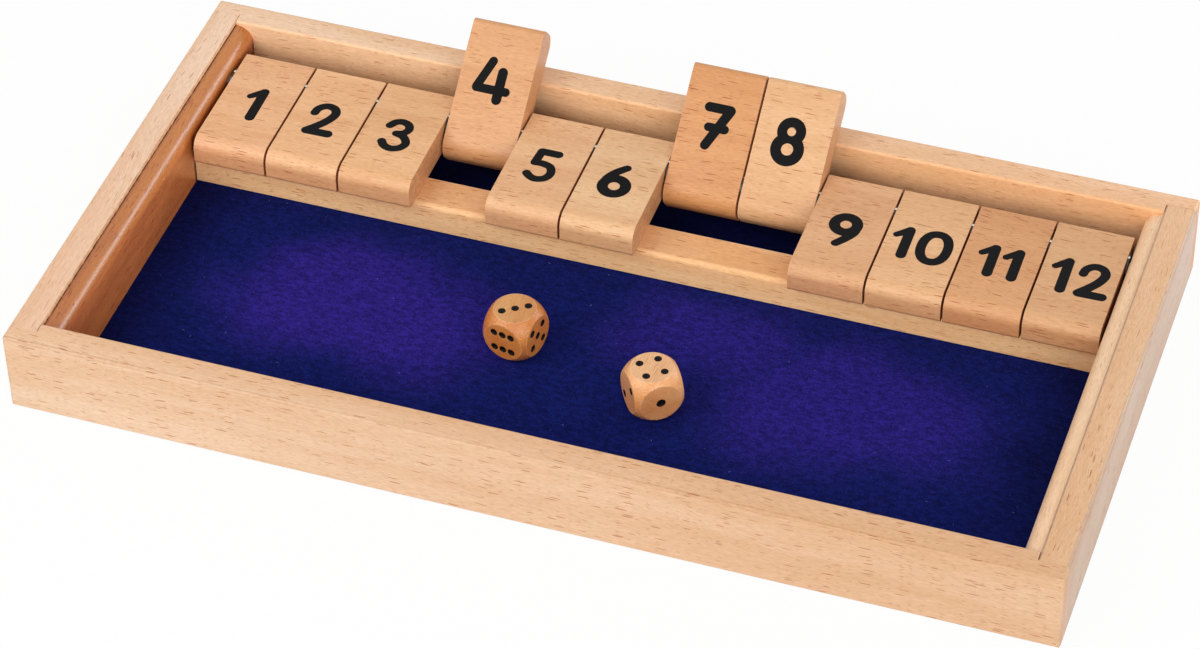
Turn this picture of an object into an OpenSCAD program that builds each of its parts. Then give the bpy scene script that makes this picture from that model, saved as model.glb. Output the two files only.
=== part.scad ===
// Shut the box: an open tray with twelve number tiles on a steel rod, and two dice.
// X runs along the row of tiles, Y from the player to the back rail, and Z up.
// The origin is the middle of the tray's underside.

/* [Tray frame] */
// Depth of the tray, front face to back face
box_d = 180; // [160:1:240]
// Height of the frame boards
box_h = 30; // [25:0.5:40]
// Thickness of the frame boards
wall_t = 10; // [8:0.5:14]
// Depth of the corner rebates, in which the side boards end
lap_t = 4; // [2:0.5:6]
// Rounding of the frame's outer edges
outer_edge_r = 1.5; // [0.5:0.1:2]
// Rounding of the frame's inner top edges
inner_edge_r = 1; // [0.5:0.1:1.5]

/* [Floor] */
// Thickness of the plywood floor
panel_t = 3; // [2:0.5:5]
// Width of the rebate that the floor lies in
panel_lap = 4; // [3:0.5:6]
// Gap between the floor's edge and its rebate
panel_gap = 0.2; // [0.1:0.1:0.5]
// Thickness of the felt
felt_t = 1; // [0.6:0.1:2]

/* [Side strips] */
// Width of the strips that carry the rod
strip_w = 5.9; // [5:0.1:12]
// Height of the frame above the strips
strip_drop = 1.5; // [1:0.1:2.5]
// Rounding of the strips' inner top edge
strip_r = 5.8; // [2:0.1:5.8]

/* [Ledge] */
// Depth of the ledge that the tile heads lie on
ledge_d = 13.5; // [8:0.5:17]
// Height of the ledge above the felt
ledge_h = 11; // [9:0.5:14]
// How far the tile heads stand out in front of the ledge
head_overhang = 4; // [0:0.5:8]
// Rounding of the ledge's front top edge
ledge_r = 2; // [0.5:0.1:3]

/* [Tiles] */
// Number of tiles
tile_count = 12; // [9, 10, 12]
// Tiles that stand raised, by number
raised = [4, 7, 8]; // [1:1:12]
// Width of a tile, along the row
tile_w = 25.12; // [18:0.01:34]
// Length of a tile, head to tail
tile_l = 48; // [42:0.5:60]
// Thickness of a tile
tile_t = 10.5; // [9:0.1:13]
// Gap between neighbouring tiles
tile_gap = 0.8; // [0.5:0.01:2]
// Gap between the first tile and the left strip
left_gap = 2.05; // [0.5:0.05:3]
// Gap between the last tile and the right strip
right_gap = 0.91; // [0.5:0.01:3]
// Gap between the tails of level tiles and the back rail
tail_gap = 10; // [7:0.5:14]
// Rounding of the head's top edge
head_top_r = 4.5; // [1:0.1:5]
// Rounding of the head's bottom edge
head_bottom_r = 2; // [0.5:0.1:3]
// Rounding of the tail's bottom edge
tail_r = 6; // [1:0.1:7]
// Gap between a raised tile and the back rail's edge
lean_gap = 0.1; // [0.05:0.05:0.5]

/* [Rod] */
// Diameter of the steel rod
rod_d = 5; // [3:0.5:6]
// Clearance all round the rod in its holes
rod_fit = 0.05; // [0.02:0.01:0.1]
// Distance from the tail's end to the rod's axis
rod_inset = 10; // [8:0.5:12]
// Gap between each rod end and the frame
rod_end_gap = 0.5; // [0.2:0.1:1]

/* [Washers] */
// Diameter of the washers on the rod, beside each tile
washer_d = 10.4; // [7:0.1:10.4]
// Play of a washer in its gap, on each side
washer_play = 0.05; // [0.02:0.01:0.15]

/* [Dice] */
// Size of the dice, face to face
die_s = 16.5; // [12:0.1:20]
// Radius of the ball that rounds a die's corners, over half its size
die_ball = 1.31; // [1.2:0.01:1.5]
// Spacing of the pips
pip_step = 3.1; // [2:0.1:3.5]
// Radius of a pip at the face
pip_r = 1.25; // [0.6:0.05:1.3]
// Radius of the single pip at the face
one_pip_r = 1.55; // [0.8:0.05:1.8]
// Depth of a pip
pip_depth = 0.6; // [0.3:0.1:1]
// Place of the first die's middle on the felt
die_1_at = [-26.0, -18.1]; // [-60:0.1:60]
// Turn of the first die
die_1_turn = -11.8; // [-45:0.1:45]
// Place of the second die's middle on the felt
die_2_at = [24.4, -30.8]; // [-60:0.1:60]
// Turn of the second die
die_2_turn = 38; // [-45:0.1:45]

/* [Hidden] */
$fn = 64;
cut = 1;  // how far a cutting shape runs past what it cuts

// Along X, the row of tiles sets the width of the tray.
tile_pitch = tile_w + tile_gap;
row_w = tile_count * tile_pitch - tile_gap + left_gap + right_gap;
bay_w = row_w + 2 * strip_w;
box_w = bay_w + 2 * wall_t;

// Along Y, the rod lies behind the tiles' middle, and the ledge under their heads.
bay_d = box_d - 2 * wall_t;
side_d = bay_d + 2 * lap_t;
rod_y = bay_d / 2 - tail_gap - rod_inset;
head_y = rod_y + rod_inset - tile_l;
ledge_y = head_y + head_overhang;

// Up Z, the felt lies on the floor, and level tiles lie on the ledge.
felt_top = panel_t + felt_t;
strip_top = box_h - strip_drop;
ledge_top = felt_top + ledge_h;
rod_z = ledge_top + tile_t / 2;

// A raised tile leans its back on the rounded inner edge of the back rail.
edge_y = bay_d / 2 + inner_edge_r - rod_y;
edge_z = box_h - inner_edge_r - rod_z;
lean = asin((tile_t / 2 + inner_edge_r + lean_gap) / norm([edge_y, edge_z])) + atan2(edge_z, edge_y);
lift = 180 - lean;

// Faces of a die: the turn that brings the top to each, and the pips on each die.
FACE_TURNS = [[0, 0, 0], [90, 0, 0], [90, 0, 90], [90, 0, 180], [90, 0, -90], [180, 0, 0]];
DIE_1_FACES = [3, 6, 5, 1, 2, 4];
DIE_2_FACES = [4, 1, 5, 6, 2, 3];
DIAGONAL = [[-1, -1], [1, 1]];
CORNERS = concat(DIAGONAL, [[-1, 1], [1, -1]]);
CENTRE = [[0, 0]];
PIPS = [[], CENTRE, DIAGONAL, concat(DIAGONAL, CENTRE), CORNERS, concat(CORNERS, CENTRE),
        concat(CORNERS, [[0, -1], [0, 1]])];

BEECH = [0.87, 0.68, 0.49];
BEECH_TILE = [0.90, 0.72, 0.52];
BEECH_DARK = [0.80, 0.56, 0.36];
PLY = [0.78, 0.66, 0.50];
FELT_BLUE = [0.13, 0.08, 0.42];
STEEL = [0.75, 0.76, 0.78];

// What rounds the top right corner of an outline at the origin to radius r.
module corner_cut(r) {
    difference() {
        translate([-r, -r]) square(r + cut);
        translate([-r, -r]) circle(r);
    }
}

// Turns an outline drawn in Y and Z into a bar of length l along X.
module along_x(l) {
    rotate([90, 0, 90]) linear_extrude(l) children();
}

// Turns an outline drawn in X and Z into a bar of length l centred along Y.
module along_y(l) {
    translate([0, l / 2, 0]) rotate([90, 0, 0]) linear_extrude(l) children();
}

// Section of a frame board, with its outer face at the left and its bottom at 0.
module board_outline() {
    difference() {
        square([wall_t, box_h]);
        translate([0, box_h]) mirror([1, 0]) corner_cut(outer_edge_r);
        rotate(180) corner_cut(outer_edge_r);
        translate([wall_t, box_h]) corner_cut(inner_edge_r);
        translate([wall_t - panel_lap, -cut]) square([panel_lap + cut, panel_t + cut]);
    }
}

// A rectangle about the origin with its corners rounded like the frame's outer edges.
module eased_rectangle(w, h) {
    difference() {
        square([w, h], center = true);
        for (x = [0, 1], y = [0, 1]) mirror([x, 0]) mirror([0, y])
            translate([w / 2, h / 2]) corner_cut(outer_edge_r);
    }
}

// The whole tray's outer shape, rounded as seen from above and from the front.
module outer_block() {
    intersection() {
        linear_extrude(box_h) eased_rectangle(box_w, box_d);
        along_y(box_d) translate([0, box_h / 2]) eased_rectangle(box_w, box_h);
    }
}

// The front rail: full width, with a rebate at each end for the side boards.
module rail() {
    intersection() {
        outer_block();
        difference() {
            translate([-box_w / 2, -box_d / 2, 0]) along_x(box_w) board_outline();
            for (x = [-box_w / 2 - cut, box_w / 2 - wall_t]) translate([x, -side_d / 2, -cut])
                cube([wall_t + cut, lap_t + cut, box_h + 2 * cut]);
        }
    }
}

module front_rail() {
    color(BEECH) rail();
}

module back_rail() {
    color(BEECH) mirror([0, 1, 0]) rail();
}

// The left side board, whose ends lie in the rails' rebates.
module side_board() {
    translate([-box_w / 2, 0, 0]) along_y(side_d) board_outline();
}

module left_side() {
    color(BEECH) side_board();
}

module right_side() {
    color(BEECH) mirror([1, 0, 0]) side_board();
}

// The hole for the rod, right across the bay.
module rod_hole() {
    translate([-bay_w / 2 - cut, rod_y, rod_z]) rotate([0, 90, 0])
        cylinder(h = bay_w + 2 * cut, d = rod_d + 2 * rod_fit);
}

// The left strip, on the felt against the side board. It carries the rod.
module side_strip() {
    difference() {
        translate([-bay_w / 2, 0, felt_top]) along_y(bay_d) difference() {
            square([strip_w, strip_top - felt_top]);
            translate([strip_w, strip_top - felt_top]) corner_cut(strip_r);
        }
        rod_hole();
    }
}

module left_strip() {
    color(BEECH) side_strip();
}

module right_strip() {
    color(BEECH) mirror([1, 0, 0]) side_strip();
}

// The ledge stops the tiles level.
module ledge() {
    color(BEECH) translate([-row_w / 2, ledge_y, felt_top]) along_x(row_w) difference() {
        square([ledge_d, ledge_h]);
        translate([0, ledge_h]) mirror([1, 0]) corner_cut(ledge_r);
    }
}

// The plywood floor, flush with the frame's underside.
module base_panel() {
    inset = panel_lap - panel_gap;
    color(PLY) translate([-bay_w / 2 - inset, -bay_d / 2 - inset, 0])
        cube([bay_w + 2 * inset, bay_d + 2 * inset, panel_t]);
}

module felt() {
    color(FELT_BLUE) translate([-bay_w / 2, -bay_d / 2, panel_t]) cube([bay_w, bay_d, felt_t]);
}

module hinge_rod() {
    color(STEEL) translate([-bay_w / 2 + rod_end_gap, rod_y, rod_z]) rotate([0, 90, 0])
        cylinder(h = bay_w - 2 * rod_end_gap, d = rod_d);
}

// Washer n, counted from the left: one before the first tile and one after each tile.
module washer(n) {
    thick = tile_gap - 2 * washer_play;
    start = -row_w / 2 + left_gap + (n - 1) * tile_pitch - washer_play - thick;
    color(STEEL) translate([start, rod_y, rod_z]) rotate([90, 0, 90])
        linear_extrude(thick) difference() {
            circle(d = washer_d);
            circle(d = rod_d + 2 * rod_fit);
        }
}

// Section of a level tile in Y and Z, about the rod's axis. The head points to -Y.
module tile_outline() {
    difference() {
        translate([rod_inset - tile_l, -tile_t / 2]) square([tile_l, tile_t]);
        translate([rod_inset - tile_l, tile_t / 2]) mirror([1, 0]) corner_cut(head_top_r);
        translate([rod_inset - tile_l, -tile_t / 2]) rotate(180) corner_cut(head_bottom_r);
        translate([rod_inset, -tile_t / 2]) mirror([0, 1]) corner_cut(tail_r);
        circle(d = rod_d + 2 * rod_fit);
    }
}

// Tile n, counted from the left. A raised one is turned up and back on the rod.
module tile(n) {
    is_raised = len([for (r = raised) if (r == n) r]) > 0;
    color(BEECH_TILE) translate([-row_w / 2 + left_gap + (n - 1) * tile_pitch, rod_y, rod_z])
        rotate([is_raised ? -lift : 0, 0, 0]) along_x(tile_w) tile_outline();
}

// A ball whose cap cuts a pip of radius r at the face.
module pip(r) {
    ball_r = (r * r + pip_depth * pip_depth) / (2 * pip_depth);
    translate([0, 0, die_s / 2 - pip_depth + ball_r]) sphere(ball_r);
}

// A die with its pips, where faces lists the top, front, right, back, left and bottom.
module die(at, turn, faces) {
    color(BEECH_DARK) translate([at[0], at[1], felt_top + die_s / 2]) rotate([0, 0, turn]) difference() {
        intersection() {
            cube(die_s, center = true);
            sphere(die_ball * die_s / 2);
        }
        for (f = [0:5]) rotate(FACE_TURNS[f]) for (p = PIPS[faces[f]])
            translate([p[0] * pip_step, p[1] * pip_step, 0]) pip(faces[f] == 1 ? one_pip_r : pip_r);
    }
}

front_rail();
back_rail();
left_side();
right_side();
left_strip();
right_strip();
ledge();
base_panel();
felt();
hinge_rod();
for (n = [1:tile_count + 1]) washer(n);
for (n = [1:tile_count]) tile(n);
die(die_1_at, die_1_turn, DIE_1_FACES);  // die_1
die(die_2_at, die_2_turn, DIE_2_FACES);  // die_2
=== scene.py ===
"""Looks of a shut the box game: a beech tray with twelve number tiles on a rod, and two dice.

Every length in a size field is in millimetres. Meshes are made in metres in the tray's frame:
X along the row of tiles, Y from the player to the back rail, Z up, and the origin in the middle
of the tray's underside.
"""
import logging
import math
from contextlib import contextmanager
from dataclasses import dataclass, field
from enum import Enum
from typing import Any, Callable, Iterable, Iterator, Sequence

import bmesh
import bpy
import numpy as np
from mathutils import Matrix, Vector
from mathutils.geometry import tessellate_polygon


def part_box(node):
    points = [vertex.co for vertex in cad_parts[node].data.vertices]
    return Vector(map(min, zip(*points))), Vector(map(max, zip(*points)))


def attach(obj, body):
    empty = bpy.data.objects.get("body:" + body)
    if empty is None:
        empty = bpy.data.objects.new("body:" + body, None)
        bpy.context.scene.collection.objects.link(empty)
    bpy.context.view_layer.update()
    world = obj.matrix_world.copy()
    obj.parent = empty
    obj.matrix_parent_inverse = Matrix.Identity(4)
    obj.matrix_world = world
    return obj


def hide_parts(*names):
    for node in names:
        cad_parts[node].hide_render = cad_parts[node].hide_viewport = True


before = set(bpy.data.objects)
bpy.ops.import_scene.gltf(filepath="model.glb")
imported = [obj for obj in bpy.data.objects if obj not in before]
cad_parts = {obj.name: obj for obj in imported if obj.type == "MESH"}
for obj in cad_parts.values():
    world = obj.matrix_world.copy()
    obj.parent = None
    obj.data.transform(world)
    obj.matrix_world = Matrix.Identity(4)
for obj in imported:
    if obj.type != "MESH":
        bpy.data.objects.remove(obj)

MM = 0.001
LOG = logging.getLogger("shut_the_box")
Colour = tuple[float, float, float]
Point2 = tuple[float, float]
Point3 = tuple[float, float, float]
Socket = bpy.types.NodeSocket
Outputs = bpy.types.bpy_prop_collection
FaceMask = Callable[[np.ndarray], np.ndarray]


class Grain(Enum):
    """The way that a board's grain runs: its turn about Z, in radians, back to the X axis."""

    ALONG_X = 0.0
    ALONG_Y = math.pi / 2

    @property
    def axis(self) -> int:
        """The number of the axis that it runs along."""
        return 0 if self is Grain.ALONG_X else 1


class Face(Enum):
    """A printed face of a tile, seen when the tile lies level or when it stands raised."""

    LEVEL = 1
    RAISED = -1


def linear(red: int, green: int, blue: int) -> Colour:
    """Turns a screen colour into a linear one.

    Args:
        red: Red, from 0 to 255.
        green: Green, from 0 to 255.
        blue: Blue, from 0 to 255.

    Returns:
        The same colour in linear light.
    """
    def one(value: int) -> float:
        """One channel in linear light."""
        share = value / 255
        return share / 12.92 if share <= 0.04045 else ((share + 0.055) / 1.055) ** 2.4
    return one(red), one(green), one(blue)


# Node trees


class Tree:
    """A node tree with short calls to add nodes and to join them."""

    def __init__(self, tree: bpy.types.NodeTree) -> None:
        """Keeps the tree that the calls add to."""
        self.tree = tree

    def put(self, node: bpy.types.Node, key: str | int, value: Any) -> None:
        """Sets or joins one input.

        Args:
            node: The node that has the input.
            key: The input's identifier, name or index.
            value: A plain value, or an output socket to join.
        """
        if isinstance(key, int):
            socket = node.inputs[key]
        else:
            found = ([s for s in node.inputs if s.identifier == key]
                     or [s for s in node.inputs if s.name == key])
            socket = found[0]
        if isinstance(value, Socket):
            self.tree.links.new(value, socket)
        elif socket.type == "RGBA" and len(value) == 3:
            socket.default_value = (*value, 1.0)
        else:
            socket.default_value = value

    def feed(self, node: bpy.types.Node, inputs: dict[str | int, Any]) -> None:
        """Sets or joins several inputs of a node."""
        for key, value in inputs.items():
            self.put(node, key, value)

    def add(self, kind: str, settings: dict[str, Any] | None = None,
            inputs: dict[str | int, Any] | None = None) -> bpy.types.Node:
        """Adds a node.

        Args:
            kind: The node's type name.
            settings: The node's own properties.
            inputs: The values or sockets of its inputs.

        Returns:
            The new node.
        """
        node = self.tree.nodes.new(kind)
        for key, value in (settings or {}).items():
            setattr(node, key, value)
        self.feed(node, inputs or {})
        return node

    def math(self, operation: str, first: Any, second: Any = 0.0) -> Socket:
        """The result of one sum on numbers, as a socket."""
        return self.add("ShaderNodeMath", {"operation": operation}, {0: first, 1: second}).outputs[0]

    def times(self, first: Any, second: Any) -> Socket:
        """The product of two numbers."""
        return self.math("MULTIPLY", first, second)

    def plus(self, first: Any, second: Any) -> Socket:
        """The sum of two numbers."""
        return self.math("ADD", first, second)

    def vector(self, operation: str, first: Any, second: Any) -> Socket:
        """The result of one sum on vectors, as a socket."""
        return self.add("ShaderNodeVectorMath", {"operation": operation}, {0: first, 1: second}).outputs[0]

    def stretch(self, vector: Any, by: Point3) -> Socket:
        """A vector with each of its numbers scaled."""
        return self.vector("MULTIPLY", vector, by)

    def join(self, x: Any = 0.0, y: Any = 0.0, z: Any = 0.0) -> Socket:
        """A vector of three numbers."""
        return self.add("ShaderNodeCombineXYZ", {}, {0: x, 1: y, 2: z}).outputs[0]

    def split(self, vector: Any) -> Outputs:
        """The three numbers of a vector."""
        return self.add("ShaderNodeSeparateXYZ", {}, {0: vector}).outputs

    def grey(self, value: Any) -> Socket:
        """A value as a grey colour."""
        return self.add("ShaderNodeCombineColor", {}, {0: value, 1: value, 2: value}).outputs[0]

    def ramp(self, value: Any, low: float, high: float, start: float = 0.0, end: float = 1.0) -> Socket:
        """A smooth step of a value.

        Args:
            value: The socket to read.
            low: The value at which the step begins.
            high: The value at which it ends.
            start: The result below low.
            end: The result above high.

        Returns:
            The stepped value.
        """
        step = self.add("ShaderNodeMapRange", {"interpolation_type": "SMOOTHSTEP"}, {
            "Value": value, "From Min": low, "From Max": high, "To Min": start, "To Max": end})
        return step.outputs["Result"]

    def blend(self, factor: Any, first: Any, second: Any, kind: str = "MIX") -> Socket:
        """A mix of two colours.

        Args:
            factor: The share of the second colour.
            first: The first colour.
            second: The second colour.
            kind: The way of mixing.

        Returns:
            The mixed colour.
        """
        mix = self.add("ShaderNodeMix", {"data_type": "RGBA", "blend_type": kind},
                       {"Factor_Float": factor, "A_Color": first, "B_Color": second})
        return mix.outputs[2]

    def tint(self, colour: Any, kept: Any, factor: Any = 1.0) -> Socket:
        """A colour of which only a share of the red, green and blue is kept, as far as the factor says."""
        return self.blend(factor, colour, kept, "MULTIPLY")

    def either(self, which: Any, yes: Any, no: Any) -> Socket:
        """One of two numbers, or a mix of them."""
        return self.add("ShaderNodeMix", {"data_type": "FLOAT"},
                        {"Factor_Float": which, "A_Float": no, "B_Float": yes}).outputs[0]

    def noise(self, vector: Any, scale: float, detail: float = 2.0, roughness: float = 0.5) -> Socket:
        """A soft noise value over a vector."""
        return self.add("ShaderNodeTexNoise", {}, {
            "Vector": vector, "Scale": scale, "Detail": detail, "Roughness": roughness}).outputs["Fac"]

    def drift(self, vector: Any, scale: float, detail: float, reach: Point3) -> Socket:
        """A slow noise as a vector that is scaled by its reach.

        Args:
            vector: Where the noise is read.
            scale: Its scale.
            detail: Its detail.
            reach: How far it goes along X, Y and Z.

        Returns:
            The vector to add.
        """
        colour = self.add("ShaderNodeTexNoise", {}, {"Vector": vector, "Scale": scale, "Detail": detail})
        return self.stretch(self.vector("SUBTRACT", colour.outputs["Color"], (0.5, 0.5, 0.5)), reach)

    def cells(self, vector: Any, scale: float, channel: int) -> tuple[Socket, Socket]:
        """Random cells over a vector.

        Args:
            vector: Where the cells are read.
            scale: Their scale.
            channel: Which of a cell's random numbers to give.

        Returns:
            The distance from the cell's point, and the cell's random number.
        """
        cell = self.add("ShaderNodeTexVoronoi", {"feature": "F1"},
                        {"Vector": vector, "Scale": scale, "Randomness": 1.0})
        chance = self.add("ShaderNodeSeparateColor", {}, {0: cell.outputs["Color"]})
        return cell.outputs["Distance"], chance.outputs[channel]

    def mark(self, name: str) -> Socket:
        """The value of one of the faces' marks."""
        return self.add("ShaderNodeAttribute", {"attribute_name": name}).outputs["Fac"]

    def effect(self, group: bpy.types.NodeTree, **inputs: Any) -> Outputs:
        """The outputs of a shader group that is placed in this tree."""
        return self.add("ShaderNodeGroup", {"node_tree": group}, inputs).outputs

    def relief(self, height: Any, distance: float) -> Socket:
        """The normal of a bumpy surface, from its height and the bumps' depth in millimetres."""
        return self.add("ShaderNodeBump", {}, {
            "Strength": 0.5, "Distance": distance * MM, "Height": height}).outputs[0]

    def seen(self, *rays: str) -> Socket:
        """A mask that is 1 where one of the named kinds of light path looks.

        Args:
            rays: The names of the light path's outputs.

        Returns:
            The mask.
        """
        path = self.add("ShaderNodeLightPath").outputs
        found = path[rays[-1]]
        for ray in rays[-2::-1]:
            found = self.math("MAXIMUM", path[ray], found)
        return found


def shader_group(name: str, inputs: dict[str, str], outputs: Sequence[str],
                 fill: Callable[[Tree, Outputs], dict[str, Socket]]) -> bpy.types.NodeTree:
    """Builds a shader node group once.

    Args:
        name: The group's name.
        inputs: The socket kind of each input, by name.
        outputs: The name of each output, which is a number.
        fill: Adds the nodes between, and returns the socket for each output.

    Returns:
        The group's tree.
    """
    if name in bpy.data.node_groups:
        return bpy.data.node_groups[name]
    group = bpy.data.node_groups.new(name, "ShaderNodeTree")
    for label, kind in inputs.items():
        group.interface.new_socket(label, in_out="INPUT", socket_type=f"NodeSocket{kind}")
    for label in outputs:
        group.interface.new_socket(label, in_out="OUTPUT", socket_type="NodeSocketFloat")
    tree = Tree(group)
    made = fill(tree, tree.add("NodeGroupInput").outputs)
    tree.add("NodeGroupOutput", {}, made)
    return group


def beech_figure() -> bpy.types.NodeTree:
    """The figure of beech over grain coordinates: broad bands, fine fibres, short flecks and a height.

    Returns:
        The shader group.
    """
    def fill(tree: Tree, get: Outputs) -> dict[str, Socket]:
        """Adds the nodes of the figure, which work in millimetres.

        Args:
            tree: The group's tree.
            get: Its inputs.

        Returns:
            The socket of each output.
        """
        raw = tree.add("ShaderNodeVectorMath", {"operation": "SCALE"},
                       {0: get["Vector"], "Scale": 1 / MM}).outputs[0]
        shift = tree.drift(tree.stretch(raw, (0.010, 0.04, 0.04)), 1.0, 1.0, (0.0, 12.0, 12.0))
        grain = tree.vector("ADD", raw, shift)
        band = tree.noise(tree.stretch(grain, (0.005, 0.09, 0.09)), 1.0, 3.0, 0.5)
        rings = tree.noise(tree.stretch(grain, (0.02, 0.60, 0.60)), 1.0, 2.0, 0.6)
        fibre = tree.noise(tree.stretch(grain, (0.30, 3.2, 3.2)), 1.0, 4.0, 0.7)

        def flecks(across: float, along: float, width: float, kept: float) -> Socket:
            """One scatter of flecks.

            Args:
                across: Their spacing across the grain.
                along: Their spacing along it.
                width: Width of a fleck, over the spacing.
                kept: Share of the flecks that show.

            Returns:
                The mask of the flecks.
            """
            distance, chance = tree.cells(tree.stretch(grain, (1 / along, 1 / across, 1 / across)), 1.0, 0)
            there = tree.ramp(chance, 1 - kept, 1 - kept + 0.2)
            return tree.times(tree.ramp(distance, width * 0.75, width, 1.0, 0.0), there)

        patch = tree.ramp(tree.noise(tree.stretch(raw, (0.02, 0.07, 0.07)), 1.0, 1.0), 0.32, 0.58, 0.55, 1.0)
        long_fleck = flecks(0.74, 11.0, 0.22, 0.62)
        short_fleck = flecks(0.42, 3.2, 0.25, 0.50)
        fleck = tree.math("MAXIMUM", long_fleck, tree.times(short_fleck, 0.6))
        fleck = tree.times(tree.times(fleck, patch), get["Flecks"])
        height = tree.math("SUBTRACT", tree.times(fibre, 0.6), fleck)
        tone = tree.plus(tree.times(band, 0.75), tree.times(rings, 0.25))
        return {"Band": tree.ramp(tone, 0.34, 0.66), "Fibre": fibre, "Fleck": fleck, "Height": height}

    return shader_group("beech figure", {"Vector": "Vector", "Flecks": "Float"},
                        ("Band", "Fibre", "Fleck", "Height"), fill)


def board_edges() -> bpy.types.NodeTree:
    """Masks from the faces' own marks: pale wear and a painted highlight on softened edges, dark joints and painted
    shade, end grain, and a brown band with painted shade on roundings, all broken by a fine noise; and the painted
    light and shade by facing.

    Returns:
        The shader group.
    """
    def fill(tree: Tree, get: Outputs) -> dict[str, Socket]:
        """Adds the nodes of the masks.

        Args:
            tree: The group's tree.
            get: Its inputs.

        Returns:
            The socket of each output.
        """
        broken = tree.ramp(tree.noise(get["Vector"], 450.0, 2.0, 0.6), 0.30, 0.60, 0.55, 1.0)
        # The edge mark is pale wear and a painted highlight; the joint mark is dark joints and painted shade; the
        # rounding mark is a brown band and painted shade.
        marks = {"Worn": "worn_edge", "Seam": "seam", "Cut": "end_grain", "Burnt": "burnt_edge"}
        masks = {label: tree.times(tree.mark(name), broken) for label, name in marks.items()}
        # Painted light and shade by the way a face looks, not broken by noise.
        masks["Planed"] = tree.mark("planed")
        patchy = tree.ramp(tree.noise(get["Vector"], 9.0, 2.0, 0.5), 0.40, 0.56, 0.25, 1.0)
        masks["Burnt"] = tree.times(masks["Burnt"], patchy)
        return masks

    return shader_group("board edges", {"Vector": "Vector"}, ("Worn", "Seam", "Cut", "Burnt", "Planed"), fill)


def handling_marks() -> bpy.types.NodeTree:
    """Faint uneven sheen where a surface was touched, as a value near 0.5, and tiny nicks as a mask.

    Returns:
        The shader group.
    """
    def fill(tree: Tree, get: Outputs) -> dict[str, Socket]:
        """Adds the nodes of the marks.

        Args:
            tree: The group's tree.
            get: Its inputs.

        Returns:
            The socket of each output.
        """
        smear = tree.noise(get["Vector"], 35.0, 4.0, 0.6)
        distance, chance = tree.cells(get["Vector"], 160.0, 1)
        rare = tree.ramp(chance, 0.93, 0.95)
        return {"Smear": smear, "Nick": tree.times(tree.ramp(distance, 0.03, 0.07, 1.0, 0.0), rare)}

    return shader_group("handling marks", {"Vector": "Vector"}, ("Smear", "Nick"), fill)


def empty_tree(owner: bpy.types.Material | bpy.types.World) -> Tree:
    """The emptied node tree of a material or a world.

    Args:
        owner: The material or world.

    Returns:
        The tree, with no nodes in it.
    """
    owner.use_nodes = True
    owner.node_tree.nodes.clear()
    return Tree(owner.node_tree)


def new_material(name: str) -> tuple[bpy.types.Material, Tree, bpy.types.Node]:
    """An empty material, its tree and its Principled shader.

    Args:
        name: The material's name.

    Returns:
        The material, its tree and the shader node.
    """
    material = bpy.data.materials.new(name)
    tree = empty_tree(material)
    shader = tree.add("ShaderNodeBsdfPrincipled")
    tree.add("ShaderNodeOutputMaterial", {}, {"Surface": shader.outputs[0]})
    return material, tree, shader


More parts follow.
